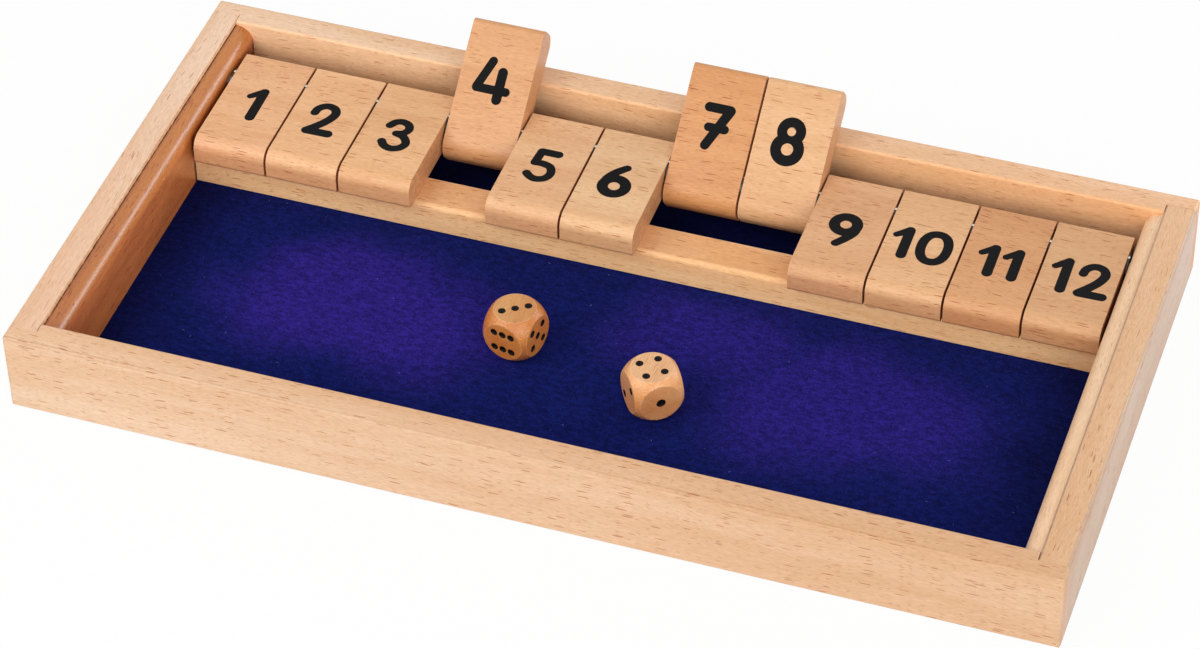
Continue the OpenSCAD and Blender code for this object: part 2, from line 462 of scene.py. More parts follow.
@dataclass(frozen=True)
class BeechFinish:
    """Clear-lacquered beech of one board, with its own place in the tree.

    Attributes:
        name: The material's name.
        pale: Colour of the pale wood.
        deep: Colour of the darker bands.
        fleck: What a fleck leaves of the wood's red, green and blue.
        end: Colour of the end grain.
        grain: The way that the grain runs.
        place: Where in the tree the board was cut, in millimetres.
        flecks: Strength of the flecks.
        roughness: Roughness of the lacquer.
        gloss: Strength of the lacquer's reflection, where 0.5 is usual.
        coat: Weight of a gloss coat.
        coat_roughness: Roughness of that coat.
        planed: What faces keep of the wood's red, green and blue by the way they look: painted light and shade.
        brown_and_shade: What the rails' outer rounding keeps of them: a brown band, and painted shade that tones down
            its highlight.
        joint_and_shade_tint: What faces with a joint mark keep of them: dark joint lines, and painted shade in
            grooves, corners and between tiles.
        gap: Colour where the joint mark is strong: dark joints, and painted shade deep in grooves, corners and between
            tiles.
        wear_and_highlight: Colour of the softened edges: pale wear and a painted highlight.
        grit: Strength of a fine relief that breaks the gloss into sparkles.
        relief: Depth of the grain's relief, in millimetres.
        drift: What the wood keeps of its red, green and blue at the left or front end, and at the other end: a painted
            falloff of light along the board.
        span: Half the length over which it drifts, in millimetres.
    """

    name: str
    pale: Colour
    deep: Colour
    fleck: Colour = (0.62, 0.36, 0.21)
    end: Colour = linear(202, 146, 104)
    grain: Grain = Grain.ALONG_X
    place: Point3 = (0.0, 0.0, 0.0)
    flecks: float = 1.0
    roughness: float = 0.42
    gloss: float = 0.5
    coat: float = 0.0
    coat_roughness: float = 0.27
    # Painted light and shade: the tone by facing, the rounding's colour, the joint colours and the edge colour.
    planed: Colour = (1.0, 1.0, 1.0)
    brown_and_shade: Colour = (0.89, 0.81, 0.73)
    joint_and_shade_tint: Colour = (0.62, 0.42, 0.30)
    gap: Colour = (0.055, 0.018, 0.008)
    wear_and_highlight: Colour = (0.93, 0.78, 0.60)
    grit: float = 0.0
    relief: float = 0.05
    drift: tuple[Colour, Colour] | None = None
    span: float = 172.5

    def colour(self, tree: Tree, where: Socket, turned: Socket, marks: Outputs,
               figure: Outputs) -> tuple[Socket, Socket]:
        """The wood's colour with its figure, marks and joints, and with painted light and shade.

        Args:
            tree: The material's tree.
            where: The place on the piece.
            turned: The same along the grain.
            marks: The outputs of the handling marks.
            figure: The outputs of the figure.

        Returns:
            The colour, and the mask of the dark joints and painted shade.
        """
        edges = tree.effect(board_edges(), Vector=turned)
        colour = tree.blend(figure["Band"], self.deep, self.pale)
        colour = tree.blend(tree.times(edges["Cut"], 0.7), colour, self.end)
        streak = tree.blend(tree.ramp(figure["Fibre"], 0.36, 0.66), (0.90, 0.85, 0.79), (1.05, 1.05, 1.05))
        colour = tree.tint(colour, streak)
        colour = tree.tint(colour, self.fleck, figure["Fleck"])
        colour = tree.blend(tree.times(marks["Nick"], 0.5), colour, self.end)
        # Painted light and shade: faces take a second tone by the way they look.
        colour = tree.tint(colour, self.planed, edges["Planed"])
        # Pale wear and a painted highlight on the softened edges.
        colour = tree.blend(tree.times(edges["Worn"], 0.35), colour, self.wear_and_highlight)
        # A brown band and painted shade on the rails' outer rounding.
        colour = tree.tint(colour, self.brown_and_shade, edges["Burnt"])
        # Painted light: a falloff of light from one end of the board to the other.
        if self.drift is not None:
            along = tree.split(where)[self.grain.axis]
            for kept, side in zip(self.drift, (-1.0, 1.0)):
                far = tree.ramp(tree.times(along, side), 0.0, self.span * MM)
                colour = tree.tint(colour, kept, far)
        # Dark joints, and painted shade in grooves, corners and between tiles.
        colour = tree.tint(colour, self.joint_and_shade_tint, tree.ramp(edges["Seam"], 0.0, 0.5))
        return tree.blend(tree.ramp(edges["Seam"], 0.5, 1.0), colour, self.gap), edges["Seam"]

    def material(self) -> bpy.types.Material:
        """Builds the material of this finish.

        Returns:
            The material.
        """
        material, tree, shader = new_material(self.name)
        where = tree.add("ShaderNodeTexCoord").outputs["Object"]
        turned = tree.add("ShaderNodeMapping", {}, {
            "Vector": where, "Rotation": (0.0, 0.0, -self.grain.value),
            "Location": tuple(x * MM for x in self.place)}).outputs[0]
        figure = tree.effect(beech_figure(), Vector=turned, Flecks=self.flecks)
        marks = tree.effect(handling_marks(), Vector=turned)
        colour, seam = self.colour(tree, where, turned, marks, figure)
        rough = tree.ramp(marks["Smear"], 0.3, 0.7, self.roughness - 0.05, self.roughness + 0.05)
        rough = tree.plus(tree.plus(rough, tree.times(figure["Fleck"], 0.15)), tree.times(seam, 0.5))
        height = figure["Height"]
        if self.grit:
            height = tree.plus(height, tree.times(tree.noise(where, 1500.0, 2.0, 0.7), self.grit))
        tree.feed(shader, {"Base Color": colour, "Roughness": rough, "Specular IOR Level": self.gloss,
                           "Normal": tree.relief(height, self.relief)})
        if self.coat:
            tree.feed(shader, {"Coat Weight": self.coat, "Coat Roughness": self.coat_roughness})
        return material


@dataclass(frozen=True)
class FeltFinish:
    """Short-napped felt, with painted sheen that turns it violet in patches, painted shade towards the side walls and
    a painted shadow under the tiles.

    Attributes:
        name: The material's name.
        navy: Colour outside the patches of painted sheen.
        violet: Colour at the heart of a patch of painted sheen.
        sheen: Colour of its sheen.
        patches: Middle and half sizes of each patch of painted sheen, in millimetres, and how far it turns violet.
        reach: Distance from the middle at which the painted shade towards the side walls begins, and at which it is
            darkest.
        shade: Distance behind the middle at which the painted shadow under the tiles begins and is darkest.
        relief: Depth of the nap's relief.
    """

    name: str = "blue_violet_felt"
    navy: Colour = linear(14, 24, 88)
    violet: Colour = linear(42, 30, 121)
    sheen: Colour = linear(110, 100, 220)
    patches: tuple[tuple[Point2, Point2, float], ...] = (
        ((-80, -17), (62, 38), 1.0), ((88, -16), (62, 40), 0.78), ((32, 4), (48, 30), 0.72))
    reach: Point2 = (128.0, 160.0)
    shade: Point2 = (37.0, 40.0)
    relief: float = 0.2

    def material(self) -> bpy.types.Material:
        """Builds the felt material.

        Returns:
            The material.
        """
        material, tree, shader = new_material(self.name)
        where = tree.add("ShaderNodeTexCoord").outputs["Object"]
        bent = tree.vector("ADD", where, tree.drift(where, 22.0, 3.0, (0.050, 0.050, 0.0)))
        # Painted sheen: soft patches where the felt turns violet.
        sheen_patches = 0.0
        for middle, size, turned in self.patches:
            away = tree.vector("SUBTRACT", bent, (middle[0] * MM, middle[1] * MM, 0.0))
            away = tree.stretch(away, (1 / (size[0] * MM), 1 / (size[1] * MM), 0.0))
            length = tree.add("ShaderNodeVectorMath", {"operation": "LENGTH"}, {0: away}).outputs["Value"]
            sheen_patches = tree.math("MAXIMUM", tree.ramp(length, 0.35, 1.05, turned, 0.0), sheen_patches)
        colour = tree.blend(sheen_patches, self.navy, self.violet)
        # Painted shade: darker towards the side walls, and a painted shadow behind the ledge under the tiles.
        aside = tree.math("ABSOLUTE", tree.split(bent)[0])
        ends = tree.ramp(aside, self.reach[0] * MM, self.reach[1] * MM, 1.0, 0.55)
        back = tree.ramp(tree.split(where)[1], self.shade[0] * MM, self.shade[1] * MM, 1.0, 0.4)
        colour = tree.tint(colour, tree.grey(tree.times(ends, back)))
        grains = tree.noise(where, 1500.0, 3.0, 0.7)
        hairs = tree.noise(tree.stretch(where, (420.0, 700.0, 420.0)), 1.0, 4.0, 0.65)
        speckle = tree.plus(tree.times(grains, 0.5), tree.times(hairs, 0.5))
        colour = tree.tint(colour, tree.grey(tree.ramp(speckle, 0.36, 0.66, 0.52, 1.55)))
        tree.feed(shader, {
            "Base Color": colour, "Roughness": 0.95, "Specular IOR Level": 0.06, "Sheen Weight": 0.04,
            "Sheen Roughness": 0.5, "Sheen Tint": self.sheen, "Normal": tree.relief(speckle, self.relief)})
        return material


@dataclass(frozen=True)
class PlainFinish:
    """A small or hidden part's finish: a colour broken by fine noise.

    Attributes:
        name: The material's name.
        base: Its main colour.
        shade: Its second colour.
        size: Spacing of the noise, in millimetres along X, Y and Z.
        roughness: Its roughness.
        metallic: 1 for a metal.
        bump: Height of its relief, in millimetres.
        gloss: Strength of its reflection, where 0.5 is usual.
        rubbed_glint: Colour of the faces marked by the attribute worn_edge: metal rubbed bright, with a painted glint.
    """

    name: str
    base: Colour
    shade: Colour
    size: Point3 = (0.4, 0.4, 0.4)
    roughness: float = 0.5
    metallic: float = 0.0
    bump: float = 0.01
    gloss: float = 0.5
    rubbed_glint: Colour | None = None

    def material(self) -> bpy.types.Material:
        """Builds the material of this finish.

        Returns:
            The material.
        """
        material, tree, shader = new_material(self.name)
        where = tree.add("ShaderNodeTexCoord").outputs["Object"]
        fine = tree.noise(tree.stretch(where, tuple(1 / (x * MM) for x in self.size)), 1.0, 3.0, 0.6)
        marks = tree.effect(handling_marks(), Vector=where)
        colour = tree.blend(tree.ramp(fine, 0.35, 0.65), self.base, self.shade)
        # Bright metal on the marked faces: rubbed bright, and a painted glint.
        if self.rubbed_glint is not None:
            colour = tree.blend(tree.mark("worn_edge"), colour, self.rubbed_glint)
        rough = tree.ramp(marks["Smear"], 0.3, 0.7, self.roughness * 0.85, self.roughness * 1.15)
        tree.feed(shader, {"Base Color": colour, "Roughness": rough, "Metallic": self.metallic,
                           "Specular IOR Level": self.gloss, "Normal": tree.relief(fine, self.bump)})
        return material


# Meshes


def new_object(name: str, mesh: bpy.types.Mesh, material: bpy.types.Material | None = None) -> bpy.types.Object:
    """A new object at the origin.

    Args:
        name: The object's name.
        mesh: Its mesh, in the tray's frame.
        material: Its material, if the mesh has none.

    Returns:
        The object, linked to the scene.
    """
    made = bpy.data.objects.new(name, mesh)
    bpy.context.scene.collection.objects.link(made)
    if material is not None:
        mesh.materials.clear()
        mesh.materials.append(material)
    return made


@contextmanager
def shaping(mesh: bpy.types.Mesh) -> Iterator[bmesh.types.BMesh]:
    """Opens a mesh for edits, and writes them back.

    Args:
        mesh: The mesh to edit.

    Yields:
        Its editable form.
    """
    shape = bmesh.new()
    shape.from_mesh(mesh)
    yield shape
    shape.to_mesh(mesh)
    shape.free()


def raw_mesh(name: str, points: Iterable[Sequence[float]], faces: Iterable[Sequence[int]] = ()) -> bpy.types.Mesh:
    """A mesh of the given points and faces, as they are.

    Args:
        name: The mesh's name.
        points: The vertices, in metres.
        faces: The vertex numbers of each face.

    Returns:
        The mesh.
    """
    mesh = bpy.data.meshes.new(name)
    mesh.from_pydata([tuple(p) for p in points], [], [tuple(f) for f in faces])
    return mesh


def mesh_of(name: str, points: Iterable[Sequence[float]], faces: Iterable[Sequence[int]],
            join: float = 1e-6) -> bpy.types.Mesh:
    """A closed mesh with its doubles merged and its faces turned outwards.

    Args:
        name: The mesh's name.
        points: The vertices, in metres.
        faces: The vertex numbers of each face.
        join: The distance within which vertices are merged.

    Returns:
        The mesh.
    """
    mesh = raw_mesh(name, points, faces)
    with shaping(mesh) as shape:
        bmesh.ops.remove_doubles(shape, verts=shape.verts, dist=join)
        bmesh.ops.recalc_face_normals(shape, faces=shape.faces)
    return mesh


def tube(rings: int, sides: int) -> list[tuple[int, ...]]:
    """The side faces between rings of points that are numbered ring by ring."""
    return [(s * sides + k, s * sides + (k + 1) % sides, (s + 1) * sides + (k + 1) % sides, (s + 1) * sides + k)
            for s in range(rings - 1) for k in range(sides)]


def face_values(mesh: bpy.types.Mesh, kind: str) -> np.ndarray:
    """One property of every face.

    Args:
        mesh: The mesh.
        kind: Which property: normal or center.

    Returns:
        The values, one face to a row.
    """
    values = np.zeros(len(mesh.polygons) * 3, np.float32)
    mesh.polygons.foreach_get(kind, values)
    return values.reshape(-1, 3)


def mark_faces(mesh: bpy.types.Mesh, **marks: Any) -> None:
    """Writes marks on a mesh's faces, each as an attribute.

    Args:
        mesh: The mesh.
        marks: The value of each mark for every face, by the attribute's name.
    """
    for name, value in marks.items():
        layer = mesh.attributes.new(name, "FLOAT", "FACE")
        layer.data.foreach_set("value", np.asarray(value, np.float32))


def soften(mesh: bpy.types.Mesh, sharp: float) -> None:
    """Shades a mesh smooth, apart from edges that turn more than the angle in degrees."""
    mesh.shade_smooth()
    mesh.set_sharp_from_angle(angle=math.radians(sharp))


def baked(source: bpy.types.Object) -> bpy.types.Object:
    """A plain copy of an object with its modifiers applied. The object itself is removed.

    Args:
        source: The object with live modifiers.

    Returns:
        The plain object, of the same name.
    """
    name = source.name
    bpy.context.view_layer.update()
    graph = bpy.context.evaluated_depsgraph_get()
    mesh = bpy.data.meshes.new_from_object(source.evaluated_get(graph), depsgraph=graph)
    source.modifiers.clear()
    old = source.data
    bpy.data.objects.remove(source)
    if old.users == 0:
        bpy.data.meshes.remove(old)
    mesh.name = name
    return new_object(name, mesh)


def geometry_tree(name: str, inputs: dict[str, str],
                  shape: Callable[[Tree, Outputs], Socket]) -> bpy.types.NodeTree:
    """Builds a geometry tree once. It ends in Realize Instances and Set Material, by its input Finish.

    Args:
        name: The tree's name.
        inputs: The socket kind of each input, by name.
        shape: Adds the nodes that make the geometry, and returns its socket.

    Returns:
        The tree.
    """
    if name in bpy.data.node_groups:
        return bpy.data.node_groups[name]
    group = bpy.data.node_groups.new(name, "GeometryNodeTree")
    for label, kind in {**inputs, "Finish": "Material"}.items():
        group.interface.new_socket(label, in_out="INPUT", socket_type=f"NodeSocket{kind}")
    group.interface.new_socket("Geometry", in_out="OUTPUT", socket_type="NodeSocketGeometry")
    tree = Tree(group)
    get = tree.add("NodeGroupInput").outputs
    solid = tree.add("GeometryNodeRealizeInstances", {}, {"Geometry": shape(tree, get)})
    dressed = tree.add("GeometryNodeSetMaterial", {}, {"Geometry": solid.outputs[0], "Material": get["Finish"]})
    tree.add("NodeGroupOutput", {}, {"Geometry": dressed.outputs[0]})
    return group


def grown(holder: bpy.types.Object, group: bpy.types.NodeTree, values: dict[str, Any]) -> bpy.types.Object:
    """The plain piece that a geometry tree makes of an object. The object itself is removed.

    Args:
        holder: The object that the tree starts from.
        group: The geometry tree.
        values: The value of each of its inputs, by name, set by the socket's identifier.

    Returns:
        The plain object, of the holder's name.
    """
    modifier = holder.modifiers.new("shape", "NODES")
    modifier.node_group = group
    for item in group.interface.items_tree:
        if item.item_type == "SOCKET" and item.in_out == "INPUT" and item.name in values:
            modifier[item.identifier] = values[item.name]
    return baked(holder)


def eased(source: bpy.types.Object, width: float, angle: float = 50.0,
          tight: Callable[[Vector], bool] | None = None) -> bpy.types.Object:
    """A plain copy of an object with its crisp edges softened, and marked by the attribute worn_edge for pale wear and
    a painted highlight.

    Args:
        source: The object, whose mesh is closed.
        width: Width of the softened edge, in millimetres.
        angle: Edges that turn more than this, in degrees, are softened.
        tight: Tells from an edge's middle, in millimetres, whether it lies in a tight joint and stays crisp.

    Returns:
        The plain object, of the same name.
    """
    mesh = source.data
    mesh.shade_smooth()
    bevel = source.modifiers.new("eased", "BEVEL")
    bevel.width = width * MM
    bevel.segments = 2
    bevel.limit_method = "ANGLE"
    bevel.angle_limit = math.radians(angle)
    bevel.harden_normals = True
    if tight is not None:
        soft = []
        with shaping(mesh) as shape:
            for edge in shape.edges:
                crisp = edge.calc_face_angle(0.0) > bevel.angle_limit
                edge.smooth = not (crisp and tight((edge.verts[0].co + edge.verts[1].co) / 2 / MM))
                soft.append(crisp and edge.smooth)
        weights = mesh.attributes.new("bevel_weight_edge", "FLOAT", "EDGE")
        weights.data.foreach_set("value", np.asarray(soft, np.float32))
        bevel.limit_method = "WEIGHT"
    finish = next((m for m in mesh.materials if m is not None), None)
    mesh.materials.clear()
    for _ in range(2):
        mesh.materials.append(None)
    mesh.polygons.foreach_set("material_index", np.zeros(len(mesh.polygons), np.int32))
    bevel.material = 1
    made = baked(source)
    index = np.zeros(len(made.data.polygons), np.int32)
    made.data.polygons.foreach_get("material_index", index)
    # The softened edges take pale wear and a painted highlight.
    mark_faces(made.data, worn_edge=index == 1)
    made.data.polygons.foreach_set("material_index", np.zeros_like(index))
    made.data.materials.clear()
    if finish is not None:
        made.data.materials.append(finish)
    return made


def mark_wood(piece: bpy.types.Object, grain: Grain, seam: FaceMask | None = None,
              shaded_rounding: bool = False, planed: FaceMask | None = None) -> None:
    """Marks a wooden piece's faces across the grain, its painted light and shade by facing, its dark joints and
    painted shade, and its outer rounding's brown band and painted shade.

    Args:
        piece: The wooden piece, on which the attributes end_grain, planed, seam and burnt_edge are written.
        grain: The way that its grain runs.
        seam: Tells from the faces' middles, in millimetres, how dark each face is made: dark joints and painted shade.
        shaded_rounding: True where its long outer rounding takes a brown band and painted shade.
        planed: Tells from the faces' normals how far each takes the painted light and shade, or the top faces do.
    """
    mesh, side = piece.data, 1 - grain.axis
    normals, middles = face_values(mesh, "normal"), face_values(mesh, "center") / MM
    across = normals[:, side] * np.sign(middles[:, side])
    mark_faces(mesh, end_grain=np.abs(normals[:, grain.axis]) > 0.9,
               seam=seam(middles) if seam is not None else np.zeros(len(middles)),
               burnt_edge=(across > 0.25) & (normals[:, 2] > 0.25) & shaded_rounding,
               planed=planed(normals) if planed is not None else normals[:, 2] > 0.95)


def copied_board(node: str, ease: float, cuts: Sequence[tuple[int, float]] = (),
                 tight: Callable[[Vector], bool] | None = None) -> bpy.types.Object:
    """A board with the shape of its CAD node, merged, with flat faces whole and crisp edges softened.

    Args:
        node: The CAD node's name.
        ease: Width of the softened edges, in millimetres.
        cuts: Axis and place, in millimetres, where its faces are parted so that a mark can end there.
        tight: Tells from an edge's middle whether it lies in a tight joint and stays crisp.

    Returns:
        The new board.
    """
    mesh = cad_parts[node].data.copy()
    mesh.materials.clear()
    with shaping(mesh) as shape:
        bmesh.ops.remove_doubles(shape, verts=shape.verts, dist=2e-6)
        bmesh.ops.dissolve_limit(shape, angle_limit=math.radians(0.4), verts=shape.verts, edges=shape.edges)
        for axis, place in cuts:
            way = Vector([float(k == axis) for k in range(3)])
            bmesh.ops.bisect_plane(shape, geom=shape.verts[:] + shape.edges[:] + shape.faces[:], dist=1e-7,
                                   plane_co=way * place * MM, plane_no=way)
        bmesh.ops.recalc_face_normals(shape, faces=shape.faces)
    for layer in [a for a in mesh.attributes if a.name.startswith("custom_normal")]:
        mesh.attributes.remove(layer)
    return eased(new_object(f"{node}_board", mesh), ease, tight=tight)


def hand_over(piece: bpy.types.Object, body: str, slot: str, *nodes: str) -> None:
    """Lets a finished piece ride on its body, and stand for CAD nodes if any are named.

    Args:
        piece: The finished piece.
        body: The CAD body that carries it.
        slot: The record's material slot; not used.
        nodes: The CAD nodes that it replaces.
    """
    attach(piece, body)
    if nodes:
        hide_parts(*nodes)
    LOG.info("%s: %d faces, on %s", piece.name, len(piece.data.polygons), body)


# The tray


def strip_corner_shade(middles: np.ndarray) -> np.ndarray:
    """Painted shade on a strip's wall beside the end tile, darker downwards, from the faces' middles."""
    return np.clip((24.5 - middles[:, 2]) * 0.25, 0, 0.9) * ((middles[:, 1] > 25.0) & (middles[:, 1] < 79.0))


def open_lap(middles: np.ndarray) -> np.ndarray:
    """How dark the open joint at the right board's back end is, from the faces' middles in millimetres."""
    return 0.25 * ((middles[:, 1] > 83.7) & (middles[:, 1] < 83.98) & (middles[:, 2] > 27.0))


def flush_joint(middle: Vector) -> bool:
    """Whether an edge lies in one of the three flush corner joints, from its middle in millimetres."""
    corner = abs(middle.x) > 162.4 and 79.5 < abs(middle.y) < 84.5 and middle.z > 25.0
    return corner and not (middle.x > 0.0 and middle.y > 0.0)


def rounded_top(normals: np.ndarray) -> np.ndarray:
    """How far a face looks up, from the faces' normals, for the painted light and shade on a strip's rounding."""
    return np.clip((normals[:, 2] - 0.25) / 0.35, 0, 1)


@dataclass
class Tray:
    """The frame boards, side strips, ledge and floor of the tray.

    Attributes:
        board_ease: Softening of the frame boards' crisp edges.
        strip_ease: Softening of the strips and the ledge.
        floor_ease: Softening of the floor panel.
        ink_room: Room left between the ledge and the tiles for the ink under them.
        cuts: Where a board's faces are parted so that a dark mark can end there, by the end of its name.
        seams_and_shades: How dark each face of a board is made, told from the faces' middles: dark joints and painted
            shade.
        plywood: The finish of the floor panel.
    """

    board_ease: float = 0.25
    strip_ease: float = 0.4
    floor_ease: float = 0.15
    ink_room: float = 0.05
    cuts: dict[str, tuple[tuple[int, float], ...]] = field(default_factory=lambda: {
        "side": ((2, 28.2), (2, 29.0)), "strip": ((1, 25.0), (2, 20.5), (2, 22.0), (2, 23.5))})
    seams_and_shades: dict[str, FaceMask] = field(default_factory=lambda: {
        # Painted shade at the left strip's outer top edge and low on both strips' walls beside the end tiles; a dark
        # joint line along the right strip's edge.
        "left_strip": lambda p: ((p[:, 0] < -162.0) & (p[:, 2] > 27.9)) + strip_corner_shade(p),
        "right_strip": lambda p: 0.5 * ((p[:, 0] > 162.0) & (p[:, 2] > 27.9)) + strip_corner_shade(p),
        # Painted shade in the left board's groove over the strip and on its inner rounding.
        "left_side": lambda p: 1.0 * ((p[:, 0] > -162.6) & (p[:, 2] > 28.2) & (p[:, 2] < 29.02)) +
                               0.3 * ((p[:, 0] > -163.0) & (p[:, 2] > 29.02)),
        "right_side": open_lap})
    plywood: PlainFinish = PlainFinish("plywood", linear(214, 178, 132), linear(188, 144, 98), (14.0, 0.9, 0.5),
                                       0.7, 0.0, 0.03)

    @staticmethod
    def finishes() -> dict[str, BeechFinish]:
        """The finish of each wooden board.

        Returns:
            The finishes, by node.
        """
        along_y: dict[str, Any] = {"grain": Grain.ALONG_Y, "span": 84.0}
        # The second tones by facing are painted light and shade, and the drifts are a painted falloff of light along
        # each board.
        listed = {
            "front_rail": (linear(220, 185, 153), linear(212, 170, 132), {
                "place": (40.0, 310.0, 12.0), "flecks": 1.3, "planed": (1.12, 1.08, 1.04),
                "drift": ((1.08, 1.14, 1.21), (0.95, 0.93, 0.90))}),
            "back_rail": (linear(248, 204, 160), linear(239, 188, 138), {
                "place": (-200.0, 20.0, 55.0), "flecks": 1.2, "planed": (0.96, 1.02, 1.15),
                "drift": ((1.02, 1.05, 1.12), (1.03, 0.97, 0.94))}),
            "left_side": (linear(245, 209, 174), linear(236, 192, 151), {
                **along_y, "place": (15.0, 90.0, -30.0), "planed": (0.98, 0.985, 1.07),
                "drift": ((0.98, 0.96, 0.96), (1.04, 1.07, 1.10))}),
            "right_side": (linear(201, 171, 147), linear(194, 157, 126), {
                **along_y, "place": (330.0, -45.0, 8.0), "planed": (1.375, 1.30, 1.13),
                "drift": ((0.96, 0.95, 0.94), (1.10, 1.16, 1.28))}),
            "left_strip": (linear(226, 138, 74), linear(184, 96, 44), {
                **along_y, "place": (5.0, 260.0, 77.0), "flecks": 2.0, "roughness": 0.27, "gloss": 0.25,
                "coat": 1.0, "planed": (0.75, 0.76, 0.40), "grit": 8.0}),
            "right_strip": (linear(255, 223, 189), linear(248, 205, 162), {
                **along_y, "place": (71.0, 140.0, -60.0), "flecks": 0.7, "roughness": 0.36}),
            "ledge": (linear(254, 209, 157), linear(243, 187, 130), {
                "place": (500.0, -80.0, 31.0), "flecks": 1.7, "planed": (0.92, 0.84, 0.80)}),
        }
        return {node: BeechFinish(f"{node}_beech", pale, deep, **more) for node, (pale, deep, more) in listed.items()}

    def build(self) -> None:
        """Builds and dresses each board, and lets it stand for its CAD node."""
        for node, finish in self.finishes().items():
            kind = node.split("_")[-1]
            ease = self.board_ease if kind in ("rail", "side") else self.strip_ease
            board = copied_board(node, ease, self.cuts.get(kind, ()), flush_joint)
            mark_wood(board, finish.grain, self.seams_and_shades.get(node), kind == "rail",
                      rounded_top if kind == "strip" else None)
            if node == "ledge":
                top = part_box(node)[1].z
                for vertex in board.data.vertices:
                    vertex.co.z -= self.ink_room * MM if vertex.co.z > top - 1e-6 else 0.0
            board.data.materials.append(finish.material())
            hand_over(board, "tray", "frame_beech", node)
        panel = copied_board("base_panel", self.floor_ease)
        panel.data.materials.append(self.plywood.material())
        hand_over(panel, "tray", "floor_plywood", "base_panel")


